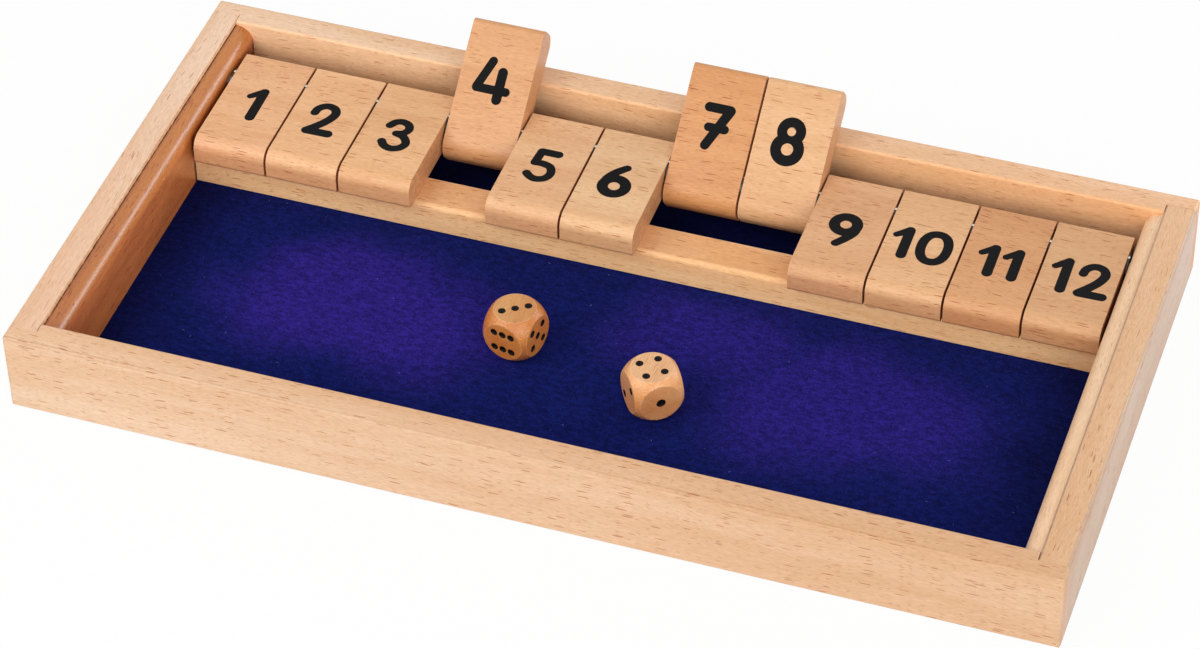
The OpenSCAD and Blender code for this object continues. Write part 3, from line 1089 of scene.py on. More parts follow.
@dataclass
class Felt:
    """The felt sheet on the floor, with loose fibres on it.

    Attributes:
        cell: Spacing of the sheet's grid.
        sag: Depth of its slow waves.
        scatter_cell: Spacing of the cells that fibres are scattered on.
        margin: Room left free of fibres along the walls.
        clear: Room left free of fibres round each die.
        kinds: The fibres: raised felt hairs and pale specks, with how many lie on a square metre, their length,
            thickness, bend, seed and finish.
    """

    cell: float = 2.5
    sag: float = 0.05
    scatter_cell: float = 4.0
    margin: float = 0.6
    clear: float = 11.0
    kinds: tuple[tuple[str, float, float, float, float, int, PlainFinish], ...] = (
        ("felt_fuzz", 24000.0, 0.9, 0.05, 0.5, 3,
         PlainFinish("felt_fibre", linear(70, 62, 165), linear(40, 44, 120), roughness=0.9)),
        ("felt_lint", 1600.0, 0.55, 0.07, 0.6, 11,
         PlainFinish("pale_lint", linear(150, 155, 205), linear(90, 96, 170), roughness=0.9)))

    def sheet(self) -> bpy.types.Object:
        """The sheet: a closed slab with a softly uneven top.

        Returns:
            The sheet with its finish.
        """
        low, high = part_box("felt")
        across, along = (int(round((high[i] - low[i]) / (self.cell * MM))) for i in (0, 1))
        xs = np.linspace(low.x, high.x, across + 1)
        ys = np.linspace(low.y, high.y, along + 1)
        points, faces = [], []
        for level in (0, 1):
            for y in ys:
                for x in xs:
                    wave = 0.5 + 0.25 * math.sin(x * 61 + 1.3 * math.sin(y * 83)) + 0.25 * math.sin(y * 97 + x * 40)
                    edge = min(x - low.x, high.x - x, y - low.y, high.y - y) < 1e-6
                    points.append((x, y, low.z if level == 0 else high.z - (0.0 if edge else wave * self.sag * MM)))
        row, count = across + 1, (across + 1) * (along + 1)
        for j in range(along):
            for i in range(across):
                a = j * row + i
                faces.append((a, a + row, a + row + 1, a + 1))
                faces.append((count + a, count + a + 1, count + a + row + 1, count + a + row))
        rim = [i for i in range(row)] + [j * row + across for j in range(1, along + 1)]
        rim += [along * row + i for i in range(across - 1, -1, -1)] + [j * row for j in range(along - 1, 0, -1)]
        for a, b in zip(rim, rim[1:] + rim[:1]):
            faces.append((a, b, b + count, a + count))
        mesh = mesh_of("felt_sheet", points, faces)
        mesh.shade_smooth()
        return new_object("felt_sheet", mesh, FeltFinish().material())

    @staticmethod
    def fibres(tree: Tree, get: Outputs) -> Socket:
        """Scatters bent fibres over a face.

        Args:
            tree: The geometry tree.
            get: Its inputs.

        Returns:
            The scattered fibres.
        """
        spots = tree.add("GeometryNodeDistributePointsOnFaces", {"distribute_method": "RANDOM"},
                         {"Mesh": get["Geometry"], "Density": get["Density"], "Seed": get["Seed"]})
        half = tree.times(get["Length"], 0.5)
        arc = tree.add("GeometryNodeCurveQuadraticBezier", {}, {
            "Resolution": 5, "Start": tree.join(tree.times(half, -1.0)), "End": tree.join(half),
            "Middle": tree.join(0.0, tree.times(half, get["Bend"]), tree.times(get["Thickness"], 1.2))})
        ring = tree.add("GeometryNodeCurvePrimitiveCircle", {}, {
            "Resolution": 4, "Radius": tree.times(get["Thickness"], 0.5)})
        fibre = tree.add("GeometryNodeCurveToMesh", {}, {
            "Curve": arc.outputs[0], "Profile Curve": ring.outputs[0], "Fill Caps": True})

        def chance(low: float, high: float, seed: Any) -> Socket:
            """A random number for each fibre."""
            return tree.add("FunctionNodeRandomValue", {"data_type": "FLOAT"},
                            {"Min_001": low, "Max_001": high, "Seed": seed}).outputs[1]

        turn = chance(0.0, 2 * math.pi, get["Seed"])
        size = chance(0.4, 1.5, tree.plus(get["Seed"], 7.0))
        return tree.add("GeometryNodeInstanceOnPoints", {}, {
            "Points": spots.outputs["Points"], "Instance": fibre.outputs[0], "Rotation": tree.join(z=turn),
            "Scale": tree.join(size, size, 1.0)}).outputs[0]

    def open_floor(self, name: str) -> bpy.types.Object:
        """The bare floor in front of the ledge, less the room round the dice, as cells to scatter on.

        Args:
            name: The name of what is scattered.

        Returns:
            The cells as one object.
        """
        wall, ledge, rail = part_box("left_strip")[1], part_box("ledge")[0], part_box("front_rail")[1]
        dice = [sum(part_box(n), Vector()) / 2 for n in ("die_1", "die_2")]
        top, step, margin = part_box("felt")[1].z, self.scatter_cell * MM, self.margin * MM
        points, faces = [], []
        for x in np.arange(wall.x + margin, -wall.x - margin - step, step):
            for y in np.arange(rail.y + margin, ledge.y - margin - step, step):
                if all(math.hypot(x + step / 2 - d.x, y + step / 2 - d.y) > self.clear * MM for d in dice):
                    n = len(points)
                    points += [(x, y, top), (x + step, y, top), (x + step, y + step, top), (x, y + step, top)]
                    faces.append((n, n + 1, n + 2, n + 3))
        return new_object(name, raw_mesh(name, points, faces))

    def build(self) -> None:
        """Builds the sheet and its fibres."""
        sheet = self.sheet()
        hand_over(sheet, "tray", "blue_felt", "felt")
        group = geometry_tree("loose fibres", {"Geometry": "Geometry", "Density": "Float", "Length": "Float",
                                               "Thickness": "Float", "Bend": "Float", "Seed": "Int"}, self.fibres)
        loose = []
        for name, density, length, thickness, bend, seed, finish in self.kinds:
            loose.append(grown(self.open_floor(name), group, {
                "Density": density, "Length": length * MM, "Thickness": thickness * MM, "Bend": bend, "Seed": seed,
                "Finish": finish.material()}))
            hand_over(loose[-1], "tray", "blue_felt")


@dataclass
class HingeRod:
    """The steel rod that the tiles turn on.

    Attributes:
        sides: Number of facets round it.
        chamfer: Width of the chamfer at each end.
        finish: Its steel.
    """

    sides: int = 64
    chamfer: float = 0.4
    finish: PlainFinish = PlainFinish("drawn_steel", linear(214, 216, 220), linear(186, 188, 194),
                                      (6.0, 0.05, 0.05), 0.22, 1.0, 0.002)

    def build(self) -> None:
        """Turns the rod with its chamfered ends."""
        low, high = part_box("hinge_rod")
        radius, middle = (high.z - low.z) / 2, (low + high) / 2
        cut, n = self.chamfer * MM, self.sides
        stations = [(low.x, radius - cut), (low.x + cut, radius), (high.x - cut, radius), (high.x, radius - cut)]
        points = [(x, middle.y + r * math.cos(a), middle.z + r * math.sin(a))
                  for x, r in stations for a in (2 * math.pi * k / n for k in range(n))]
        faces = tube(4, n) + [tuple(range(n)), tuple(range(4 * n - 1, 3 * n - 1, -1))]
        mesh = mesh_of("steel_rod", points, faces)
        soften(mesh, 30)
        hand_over(new_object("steel_rod", mesh, self.finish.material()), "tray", "rod_steel", "hinge_rod")


@dataclass
class Washers:
    """The thin steel washers on the rod, one beside each tile.

    Attributes:
        count: How many there are.
        sides: Number of facets round each.
        bore: Diameter of the hole.
        ease: Rounding of the rims.
        rubbed_glint: Half the length of the rim's top that is rubbed bright, with a painted glint.
        rubbed_glint_depth: How far down the rim the bright patch reaches.
        finish: Their steel, dark but for the bright patch with its painted glint.
    """

    count: int = 13
    sides: int = 72
    bore: float = 5.1
    ease: float = 0.12
    rubbed_glint: float = 0.65
    rubbed_glint_depth: float = 0.4
    finish: PlainFinish = PlainFinish("washer_steel", linear(84, 78, 72), linear(60, 55, 51), (0.4, 0.4, 0.4),
                                      0.3, 1.0, 0.004, rubbed_glint=linear(222, 219, 212))

    @staticmethod
    def ring(tree: Tree, get: Outputs) -> Socket:
        """Carries a washer's section round a circle about X.

        Args:
            tree: The geometry tree.
            get: Its inputs.

        Returns:
            The washer.
        """
        wide = tree.math("SUBTRACT", get["Outer Radius"], get["Hole Radius"])
        middle = tree.times(tree.plus(get["Outer Radius"], get["Hole Radius"]), 0.5)
        section = tree.add("GeometryNodeCurvePrimitiveQuadrilateral", {"mode": "RECTANGLE"},
                           {"Width": wide, "Height": get["Thickness"]})
        rounded = tree.add("GeometryNodeFilletCurve", {"mode": "POLY"}, {
            "Curve": section.outputs[0], "Count": 3, "Radius": get["Edge Radius"], "Limit Radius": True})
        path = tree.add("GeometryNodeCurvePrimitiveCircle", {}, {"Resolution": get["Sides"], "Radius": middle})
        body = tree.add("GeometryNodeCurveToMesh", {}, {"Curve": path.outputs[0], "Profile Curve": rounded.outputs[0]})
        return tree.add("GeometryNodeTransform", {}, {
            "Geometry": body.outputs[0], "Translation": get["Place"],
            "Rotation": tree.join(0.0, math.pi / 2)}).outputs[0]

    def build(self) -> None:
        """Builds and dresses each washer."""
        sizes = ("Outer Radius", "Hole Radius", "Thickness", "Edge Radius")
        group = geometry_tree("rod washer", {**dict.fromkeys(sizes, "Float"), "Sides": "Int", "Place": "Vector"},
                              self.ring)
        finish = self.finish.material()
        for number in range(1, self.count + 1):
            low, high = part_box(f"washer_{number}")
            middle = (low + high) / 2
            made = grown(new_object(f"steel_washer_{number}", bpy.data.meshes.new("holder")), group, {
                "Outer Radius": (high.z - low.z) / 2, "Hole Radius": self.bore / 2 * MM, "Thickness": high.x - low.x,
                "Edge Radius": self.ease * MM, "Sides": self.sides, "Place": tuple(middle), "Finish": finish})
            soften(made.data, 40)
            # Bright metal on the rim's top: rubbed bright, and a painted glint.
            spots = face_values(made.data, "center")
            mark_faces(made.data, worn_edge=(np.abs(spots[:, 1] - middle.y) < self.rubbed_glint * MM)
                       & (spots[:, 2] > high.z - self.rubbed_glint_depth * MM))
            hand_over(made, "tray", "rod_steel", f"washer_{number}")


# Numbers


@dataclass(frozen=True)
class Stroke:
    """One pen stroke of a numeral, in millimetres from the numeral's bottom left corner.

    Attributes:
        points: What the pen passes through.
        start: Half the stroke's width at its start.
        end: Half the stroke's width at its end.
        curved: True where the pen bends smoothly through the points.
        closed: True where the stroke ends at its start.
        bit: Share of the way between two points that is drawn as one straight bit of a bend.
    """

    points: tuple[Point2, ...]
    start: float = 1.65
    end: float = 1.65
    curved: bool = False
    closed: bool = False
    bit: float = 0.1

    def path(self) -> np.ndarray:
        """The stroke as a fine polyline.

        Returns:
            Its points, as rows of x, y and half width.
        """
        pts = np.array(self.points, float)
        if self.curved:
            ends = (pts[-1:], pts[:2]) if self.closed else (2 * pts[:1] - pts[1:2], 2 * pts[-1:] - pts[-2:-1])
            ctrl = np.concatenate([ends[0], pts, ends[1]])
            out = []
            for p0, p1, p2, p3 in zip(ctrl, ctrl[1:], ctrl[2:], ctrl[3:]):
                for t in np.arange(0, 1, self.bit):
                    out.append(0.5 * (2 * p1 + (p2 - p0) * t + (2 * p0 - 5 * p1 + 4 * p2 - p3) * t ** 2
                                      + (3 * p1 - p0 - 3 * p2 + p3) * t ** 3))
            out.append(pts[0] if self.closed else pts[-1])
            pts = np.array(out)
        half = np.linspace(self.start, self.end, len(pts))
        return np.column_stack([pts, half])


def ring(x: float, y: float, wide: float, tall: float, half: float, square: float = 2.0,
         count: int = 28) -> Stroke:
    """A closed round stroke.

    Args:
        x: Its middle across.
        y: Its middle up.
        wide: Half its width, to the middle of the pen.
        tall: Half its height, to the middle of the pen.
        half: Half the stroke's width.
        square: 2 for an ellipse, more for squarer sides.
        count: Number of points round it.

    Returns:
        The stroke.
    """
    def arm(value: float) -> float:
        """A sine or cosine pushed out towards the square."""
        return math.copysign(abs(value) ** (2 / square), value)
    turns = [2 * math.pi * k / count for k in range(count)]
    pts = tuple((x + wide * arm(math.cos(a)), y + tall * arm(math.sin(a))) for a in turns)
    return Stroke(pts, half, half, curved=True, closed=True)


@dataclass(frozen=True)
class Numeral:
    """One digit: the width of its box, its strokes, and its round holes as x, y and radius."""

    width: float
    strokes: tuple[Stroke, ...]
    holes: tuple[Point3, ...] = ()


DIGITS: dict[str, Numeral] = {
    "0": Numeral(12.0, (ring(6.0, 8.0, 4.3, 6.8, 1.62, 2.25),)),
    "1": Numeral(7.0, (
        Stroke(((1.3, 12.1), (4.9, 15.3)), 1.2, 1.55),
        Stroke(((5.15, 15.45), (5.25, 1.75)), 1.66, 1.75))),
    "i": Numeral(7.0, (
        Stroke(((1.3, 10.9), (4.9, 13.9)), 1.2, 1.55),
        Stroke(((5.1, 14.0), (5.2, 1.75)), 1.7, 1.75))),
    "2": Numeral(11.5, (
        Stroke(((1.6, 11.1), (2.0, 13.2), (3.5, 14.9), (5.4, 15.45), (7.5, 14.7), (8.6, 12.7),
                (8.2, 10.3), (6.7, 7.4), (4.6, 4.6), (2.3, 2.0)), 1.5, 1.65, curved=True),
        Stroke(((2.2, 1.75), (9.75, 1.85)), 1.75, 1.75))),
    "3": Numeral(11.4, (
        Stroke(((1.45, 12.7), (2.8, 14.7), (5.0, 15.55), (7.4, 14.6), (8.3, 12.4), (7.2, 10.2),
                (4.9, 9.35)), 1.5, 1.45, curved=True),
        Stroke(((4.9, 9.35), (7.9, 8.3), (9.7, 5.4), (8.5, 2.7), (5.7, 1.6), (3.1, 2.4),
                (1.6, 4.3)), 1.45, 1.5, curved=True))),
    "4": Numeral(13.6, (
        Stroke(((5.3, 14.9), (1.6, 5.5)), 1.5, 1.5),
        Stroke(((1.6, 5.2), (12.0, 5.2)), 1.5, 1.5),
        Stroke(((9.5, 11.6), (9.5, 2.1)), 1.7, 1.7))),
    "5": Numeral(10.8, (
        Stroke(((3.0, 15.25), (8.65, 15.25)), 1.65, 1.65),
        Stroke(((2.9, 15.3), (2.4, 9.5)), 1.5, 1.5),
        Stroke(((2.4, 9.4), (5.0, 9.5), (8.0, 8.5), (9.2, 5.5), (8.1, 2.7), (5.4, 1.5), (3.2, 2.1),
                (1.5, 3.5)), 1.5, 1.45, curved=True))),
    "6": Numeral(11.5, (
        ring(5.75, 5.5, 3.85, 3.85, 1.87),
        Stroke(((1.95, 6.2), (2.7, 9.4), (4.5, 12.5), (7.1, 15.3)), 1.8, 1.5, curved=True))),
    "7": Numeral(10.7, (
        Stroke(((1.6, 15.0), (8.8, 15.0)), 1.6, 1.6),
        Stroke(((9.0, 14.8), (3.1, 2.1)), 1.7, 1.6),
        Stroke(((2.8, 8.3), (8.4, 8.3)), 1.45, 1.5))),
    "8": Numeral(11.7, (ring(6.0, 11.67, 3.16, 3.16, 1.7), ring(5.9, 5.6, 3.85, 3.85, 1.82)),
                 ((6.0, 11.67, 1.46), (5.9, 5.6, 2.03))),
    "9": Numeral(11.2, (
        ring(5.6, 10.8, 3.75, 3.75, 1.85),
        Stroke(((9.3, 10.4), (9.0, 7.7), (7.3, 4.4), (4.8, 1.2)), 1.8, 1.5, curved=True))),
}


@dataclass(frozen=True)
class InkFilm:
    """The printed number of a tile as a thin film of ink.

    Attributes:
        text: The digits, where i is the shorter 1 of a two digit number.
        space: Gap between two digits.
        aside: How far the print lies off the tile's middle.
        up: How far the print lies above its usual line.
        step: Fineness of the outline's grid.
        room: Room that the grid leaves on the left and right.
        band: The grid's lowest and highest line.
        bend: Turn, in radians, from which an outline keeps a point.
        reach: Distance from which an outline keeps a point in any case.
        rise: Height of the ink above the wood.
        sink: Depth of the ink in the wood.
    """

    text: str
    space: float = 1.7
    aside: float = 0.0
    up: float = 0.0
    step: float = 0.16
    room: float = 1.0
    band: Point2 = (-1.5, 18.5)
    bend: float = 0.05
    reach: float = 0.6
    rise: float = 0.04
    sink: float = 0.03

    def width(self) -> float:
        """Width of the whole number."""
        return sum(DIGITS[c].width for c in self.text) + self.space * (len(self.text) - 1)

    def distance(self, xs: np.ndarray, ys: np.ndarray) -> np.ndarray:
        """How far each grid point lies outside the ink.

        Args:
            xs: The grid's columns.
            ys: The grid's rows.

        Returns:
            The distances, below zero in the ink, by column and row.
        """
        gx, gy = np.meshgrid(xs, ys, indexing="ij")
        best = np.full(gx.shape, 1e9)
        left = 0.0
        for digit in self.text:
            for stroke in DIGITS[digit].strokes:
                path = stroke.path()
                path[:, 0] += left
                for a, b in zip(path, path[1:]):
                    d = b[:2] - a[:2]
                    t = np.clip(((gx - a[0]) * d[0] + (gy - a[1]) * d[1]) / max(d @ d, 1e-9), 0, 1)
                    near = np.hypot(gx - a[0] - t * d[0], gy - a[1] - t * d[1]) - (a[2] + (b[2] - a[2]) * t)
                    best = np.minimum(best, near)
            for x, y, radius in DIGITS[digit].holes:
                best = np.maximum(best, radius - np.hypot(gx - left - x, gy - y))
            left += DIGITS[digit].width + self.space
        return best

    def loops(self) -> list[list[Point2]]:
        """The outlines of the ink, found by walking the zero line over a grid.

        Returns:
            The points of each outline.
        """
        xs = np.arange(-self.room, self.width() + self.room, self.step)
        ys = np.arange(*self.band, self.step)
        value = self.distance(xs, ys)
        inside = value < 0
        links: dict[tuple[int, int, int], list[tuple[int, int, int]]] = {}
        spots: dict[tuple[int, int, int], Point2] = {}
        mixed = np.argwhere((inside[:-1, :-1] != inside[1:, :-1]) | (inside[:-1, :-1] != inside[:-1, 1:])
                            | (inside[:-1, :-1] != inside[1:, 1:]))
        for i, j in mixed:
            cuts = []
            sides = (((i, j), (i + 1, j), (i, j, 0)), ((i + 1, j), (i + 1, j + 1), (i + 1, j, 1)),
                     ((i, j + 1), (i + 1, j + 1), (i, j + 1, 0)), ((i, j), (i, j + 1), (i, j, 1)))
            for (i0, j0), (i1, j1), key in sides:
                if inside[i0, j0] != inside[i1, j1]:
                    share = value[i0, j0] / (value[i0, j0] - value[i1, j1])
                    spots[key] = (xs[i0] + (xs[i1] - xs[i0]) * share, ys[j0] + (ys[j1] - ys[j0]) * share)
                    cuts.append(key)
            for a, b in ((0, 1), (2, 3)) if len(cuts) == 4 else ((0, 1),):
                links.setdefault(cuts[a], []).append(cuts[b])
                links.setdefault(cuts[b], []).append(cuts[a])
        found, seen = [], set()
        for first in links:
            if first in seen:
                continue
            walk, here, before = [], first, None
            while here not in seen:
                seen.add(here)
                walk.append(here)
                onward = [k for k in links[here] if k != before]
                before, here = here, onward[0]
            found.append(self.thinned([spots[k] for k in walk]))
        return found

    def thinned(self, loop: list[Point2]) -> list[Point2]:
        """An outline without the points that its shape doesn't need.

        Args:
            loop: The points of the outline.

        Returns:
            The points that are kept.
        """
        kept = [loop[0]]
        for k in range(1, len(loop) - 1):
            a, b, c = kept[-1], loop[k], loop[k + 1]
            turn = math.atan2(c[1] - b[1], c[0] - b[0]) - math.atan2(b[1] - a[1], b[0] - a[0])
            if abs(math.remainder(turn, 2 * math.pi)) > self.bend or math.dist(a, b) > self.reach:
                kept.append(b)
        return kept

    @staticmethod
    def holds(loop: list[Point2], spot: Point2) -> bool:
        """Whether a point lies inside an outline.

        Args:
            loop: The points of the outline.
            spot: The point.

        Returns:
            True inside it.
        """
        inside = False
        for (x0, y0), (x1, y1) in zip(loop, loop[1:] + loop[:1]):
            if (y0 > spot[1]) != (y1 > spot[1]) and spot[0] < x0 + (spot[1] - y0) * (x1 - x0) / (y1 - y0):
                inside = not inside
        return inside

    def solid(self, place: Callable[[float, float, float], Vector]) -> tuple[list[Vector], list[tuple[int, ...]]]:
        """The film as a closed solid.

        Args:
            place: Turns x, y and height on the print into a point of the tray's frame.

        Returns:
            Its points and faces.
        """
        loops = self.loops()
        flat = [p for loop in loops for p in loop]
        count = len(flat)
        points = [place(x, y, self.rise) for x, y in flat] + [place(x, y, -self.sink) for x, y in flat]
        faces: list[tuple[int, ...]] = []
        starts = [sum(len(loop) for loop in loops[:k]) for k in range(len(loops))]
        outer = [k for k, loop in enumerate(loops)
                 if not any(self.holds(other, loop[0]) for other in loops if other is not loop)]
        for k in outer:
            group = [k] + [m for m in range(len(loops)) if m not in outer and self.holds(loops[k], loops[m][0])]
            order = [starts[m] + i for m in group for i in range(len(loops[m]))]
            for a, b, c in tessellate_polygon([[Vector((x, y, 0)) for x, y in loops[m]] for m in group]):
                faces += [(order[a], order[b], order[c]), (count + order[c], count + order[b], count + order[a])]
        for start, loop in zip(starts, loops):
            n = len(loop)
            faces += [(start + k, start + (k + 1) % n, count + start + (k + 1) % n, count + start + k)
                      for k in range(n)]
        return points, faces


# Tiles


def shaded_foot(normals: np.ndarray) -> np.ndarray:
    """How far a tile's face takes the painted shade of its lower front, from the faces' normals."""
    return np.clip((0.55 - normals[:, 2]) / 0.8, 0, 1) * (normals[:, 1] < -0.3)


@dataclass
class TileRow:
    """The twelve number tiles.

    Attributes:
        raised: Tiles that stand raised.
        width: Width of a tile.
        length: Length of a tile, head to tail.
        thickness: Thickness of a tile.
        pitch: Distance from one tile to the next.
        first: Left edge of the first tile.
        head_top: Rounding of the head's top edge.
        head_bottom: Rounding of the head's bottom edge.
        tail: Rounding of the tail's bottom edge.
        crisp: Rounding of the tail's top edge.
        inset: Distance from the tail's end to the rod's axis.
        hole: Diameter of the rod's hole.
        lift: Turn of a raised tile, in degrees.
        ease: Softening of the side edges.
        gap_shade: How dark the painted shade is on the sides between two tiles, beside a level tile and beside a
            raised one.
        level_foot: Distance from the head's end to the number on the face that shows level.
        raised_foot: Distance from the tail's end to the number on the face that shows raised.
        tones: Screen colour of each tile's pale wood.
        deep: What the darker bands keep of it.
        prints: The number on each tile.
        ink: The finish of the numbers.
    """

    raised: tuple[int, ...] = (4, 7, 8)
    width: float = 25.12
    length: float = 48.0
    thickness: float = 10.5
    pitch: float = 25.92
    first: float = -154.55
    head_top: float = 4.52
    head_bottom: float = 2.0
    tail: float = 6.0
    crisp: float = 0.35
    inset: float = 10.0
    hole: float = 5.1
    lift: float = 141.1744
    ease: float = 0.14
    gap_shade: Point2 = (0.6, 0.18)
    level_foot: float = 15.1
    raised_foot: float = 19.4
    tones: tuple[tuple[int, int, int], ...] = (
        (240, 187, 142), (242, 191, 143), (238, 187, 138), (226, 171, 122), (237, 189, 144), (239, 196, 151),
        (218, 158, 104), (231, 184, 138), (227, 177, 133), (231, 183, 137), (220, 165, 117), (221, 173, 128))
    deep: Colour = (0.955, 0.915, 0.875)
    prints: tuple[InkFilm, ...] = (
        InkFilm("1", aside=-0.66), InkFilm("2", aside=-0.68, up=-0.35), InkFilm("3", aside=0.05, up=-0.5),
        InkFilm("4", aside=-0.77), InkFilm("5", aside=-0.49, up=-0.35), InkFilm("6", aside=-0.61),
        InkFilm("7", aside=-0.18, up=-0.55), InkFilm("8", aside=-1.0), InkFilm("9", aside=-0.37, up=-0.4),
        InkFilm("i0", aside=-0.29), InkFilm("ii", 1.0, -0.46), InkFilm("12", 2.1, 0.47, -0.35))
    ink: PlainFinish = PlainFinish("black_ink", linear(17, 17, 19), linear(24, 23, 24), (0.5, 0.3, 0.5), 0.55,
                                   0.0, 0.01, 0.06)

    @staticmethod
    def block(tree: Tree, get: Outputs) -> Socket:
        """Makes a tile from its outline, the rod's hole, its width and its turn.

        Args:
            tree: The geometry tree.
            get: Its inputs.

        Returns:
            The tile.
        """
        slab = tree.add("GeometryNodeCurvePrimitiveQuadrilateral", {"mode": "RECTANGLE"},
                        {"Width": get["Length"], "Height": get["Thickness"]})
        at = tree.split(tree.add("GeometryNodeInputPosition").outputs[0])
        is_tail = tree.math("GREATER_THAN", at[0], 0.0)
        is_top = tree.math("GREATER_THAN", at[1], 0.0)
        radius = tree.either(is_tail, tree.either(is_top, get["Crisp Radius"], get["Tail Radius"]),
                             tree.either(is_top, get["Head Top Radius"], get["Head Bottom Radius"]))
        outline = tree.add("GeometryNodeFilletCurve", {"mode": "POLY"},
                           {"Curve": slab.outputs[0], "Count": 12, "Radius": radius, "Limit Radius": True})
        back = tree.math("SUBTRACT", get["Rod Inset"], tree.times(get["Length"], 0.5))
        moved = tree.add("GeometryNodeTransform", {}, {"Geometry": outline.outputs[0], "Translation": tree.join(back)})
        hole = tree.add("GeometryNodeCurvePrimitiveCircle", {}, {"Resolution": 48, "Radius": get["Hole Radius"]})

        def both(first: bpy.types.Node, second: bpy.types.Node) -> Socket:
            """Joins two geometries.

            Args:
                first: The node that makes the first.
                second: The node that makes the second.

            Returns:
                Both as one.
            """
            joined = tree.add("GeometryNodeJoinGeometry")
            for node in (first, second):
                tree.put(joined, 0, node.outputs[0])
            return joined.outputs[0]

        side = tree.add("GeometryNodeFillCurve", {"mode": "TRIANGLES"}, {"Curve": both(hole, moved)})
        grown_side = tree.add("GeometryNodeExtrudeMesh", {"mode": "FACES"}, {
            "Mesh": side.outputs[0], "Individual": False, "Offset Scale": 1.0,
            "Offset": tree.join(z=get["Width"])})
        under = tree.add("GeometryNodeFlipFaces", {}, {"Mesh": side.outputs[0]})
        closed = tree.add("GeometryNodeMergeByDistance", {}, {"Geometry": both(under, grown_side), "Distance": 1e-6})
        now = tree.split(tree.add("GeometryNodeInputPosition").outputs[0])
        stood = tree.add("GeometryNodeSetPosition", {}, {
            "Geometry": closed.outputs[0], "Position": tree.join(now[2], now[0], now[1])})
        return tree.add("GeometryNodeTransform", {}, {
            "Geometry": stood.outputs[0], "Translation": get["Place"],
            "Rotation": tree.join(get["Turn"])}).outputs[0]

    def sizes(self) -> dict[str, float]:
        """The sizes that the tile's tree asks for.

        Returns:
            Each size in metres, by the name of its input.
        """
        listed = {"Width": self.width, "Length": self.length, "Thickness": self.thickness,
                  "Head Top Radius": self.head_top, "Head Bottom Radius": self.head_bottom, "Tail Radius": self.tail,
                  "Crisp Radius": self.crisp, "Rod Inset": self.inset, "Hole Radius": self.hole / 2}
        return {name: size * MM for name, size in listed.items()}

    def finish(self, number: int) -> BeechFinish:
        """The finish of one tile, which is cut from its own place in the wood.

        Args:
            number: The tile's number.

        Returns:
            Its finish.
        """
        tone = self.tones[number - 1]
        deep = (int(c * k) for c, k in zip(tone, self.deep))
        # The second tone by facing is painted shade on the head's lower front.
        return BeechFinish(f"tile_{number}_beech", linear(*tone), linear(*deep),
                           place=(37.0 * number, 91.0 * number, -53.0 * number), flecks=1.25,
                           planed=(0.88, 0.78, 0.72))

    def pose(self, number: int) -> tuple[float, Vector, float]:
        """Where one tile rests.

        Args:
            number: The tile's number.

        Returns:
            Its left edge and a point on the rod's axis, in metres, and its turn in radians.
        """
        low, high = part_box("hinge_rod")
        left = (self.first + (number - 1) * self.pitch) * MM
        return left, (low + high) / 2, math.radians(-self.lift if number in self.raised else 0.0)

    def place_on(self, number: int, side: Face) -> Callable[[float, float, float], Vector]:
        """How a print lies on one face of a tile.

        Args:
            number: The tile's number.
            side: The printed face.

        Returns:
            A call that turns x, y and height on the print into a point of the tray's frame.
        """
        left, pivot, angle = self.pose(number)
        turn, film = Matrix.Rotation(angle, 3, "X"), self.prints[number - 1]
        across = (self.width - film.width()) / 2 + film.aside

        def place(x: float, y: float, height: float) -> Vector:
            """One point of the print in the tray's frame.

            Args:
                x: Its place across the print.
                y: Its place up the print.
                height: Its height over the wood.

            Returns:
                The point, in metres.
            """
            if side is Face.LEVEL:
                along = self.inset - self.length + self.level_foot + film.up + y
            else:
                along = self.inset - self.raised_foot - film.up - y
            spot = turn @ Vector((0.0, along * MM, side.value * (self.thickness / 2 + height) * MM))
            return Vector((left + (across + x) * MM, pivot.y + spot.y, pivot.z + spot.z))

        return place

    def body(self, group: bpy.types.NodeTree, number: int) -> bpy.types.Object:
        """The wooden body of one tile.

        Args:
            group: The tile's node tree.
            number: The tile's number.

        Returns:
            The finished body.
        """
        left, pivot, angle = self.pose(number)
        tile = eased(grown(new_object(f"tile_{number}_body", bpy.data.meshes.new("holder")), group, {
            **self.sizes(), "Turn": angle, "Place": (left, pivot.y, pivot.z),
            "Finish": self.finish(number).material()}), self.ease)
        if number in self.raised:
            mark_wood(tile, Grain.ALONG_X, planed=lambda n: np.zeros(len(n)))
        else:
            low, high = left / MM, left / MM + self.width
            # Painted shade on the sides that face a neighbour, lighter beside a raised one.
            near, far = (self.gap_shade[n in self.raised] for n in (number - 1, number + 1))
            mark_wood(tile, Grain.ALONG_X, lambda p: near * (p[:, 0] < low + 0.01) + far * (p[:, 0] > high - 0.01),
                      planed=shaded_foot)
        return tile

    def numbers(self, number: int, finish: bpy.types.Material) -> bpy.types.Object:
        """The numbers on both faces of one tile.

        Args:
            number: The tile's number.
            finish: The ink's material.

        Returns:
            Both films as one piece.
        """
        points: list[Vector] = []
        faces: list[tuple[int, ...]] = []
        for side in Face:
            more, around = self.prints[number - 1].solid(self.place_on(number, side))
            faces += [tuple(i + len(points) for i in f) for f in around]
            points += more
        return new_object(f"tile_{number}_numbers", mesh_of("numbers", points, faces, 1e-7), finish)

    def build(self) -> None:
        """Builds and dresses all tiles."""
        inputs = {**dict.fromkeys((*self.sizes(), "Turn"), "Float"), "Place": "Vector"}
        group = geometry_tree("number tile", inputs, self.block)
        ink = self.ink.material()
        for number in range(1, len(self.prints) + 1):
            hand_over(self.body(group, number), f"tile_{number}", "tile_beech", f"tile_{number}")
            hand_over(self.numbers(number, ink), f"tile_{number}", "tile_beech")


# Dice


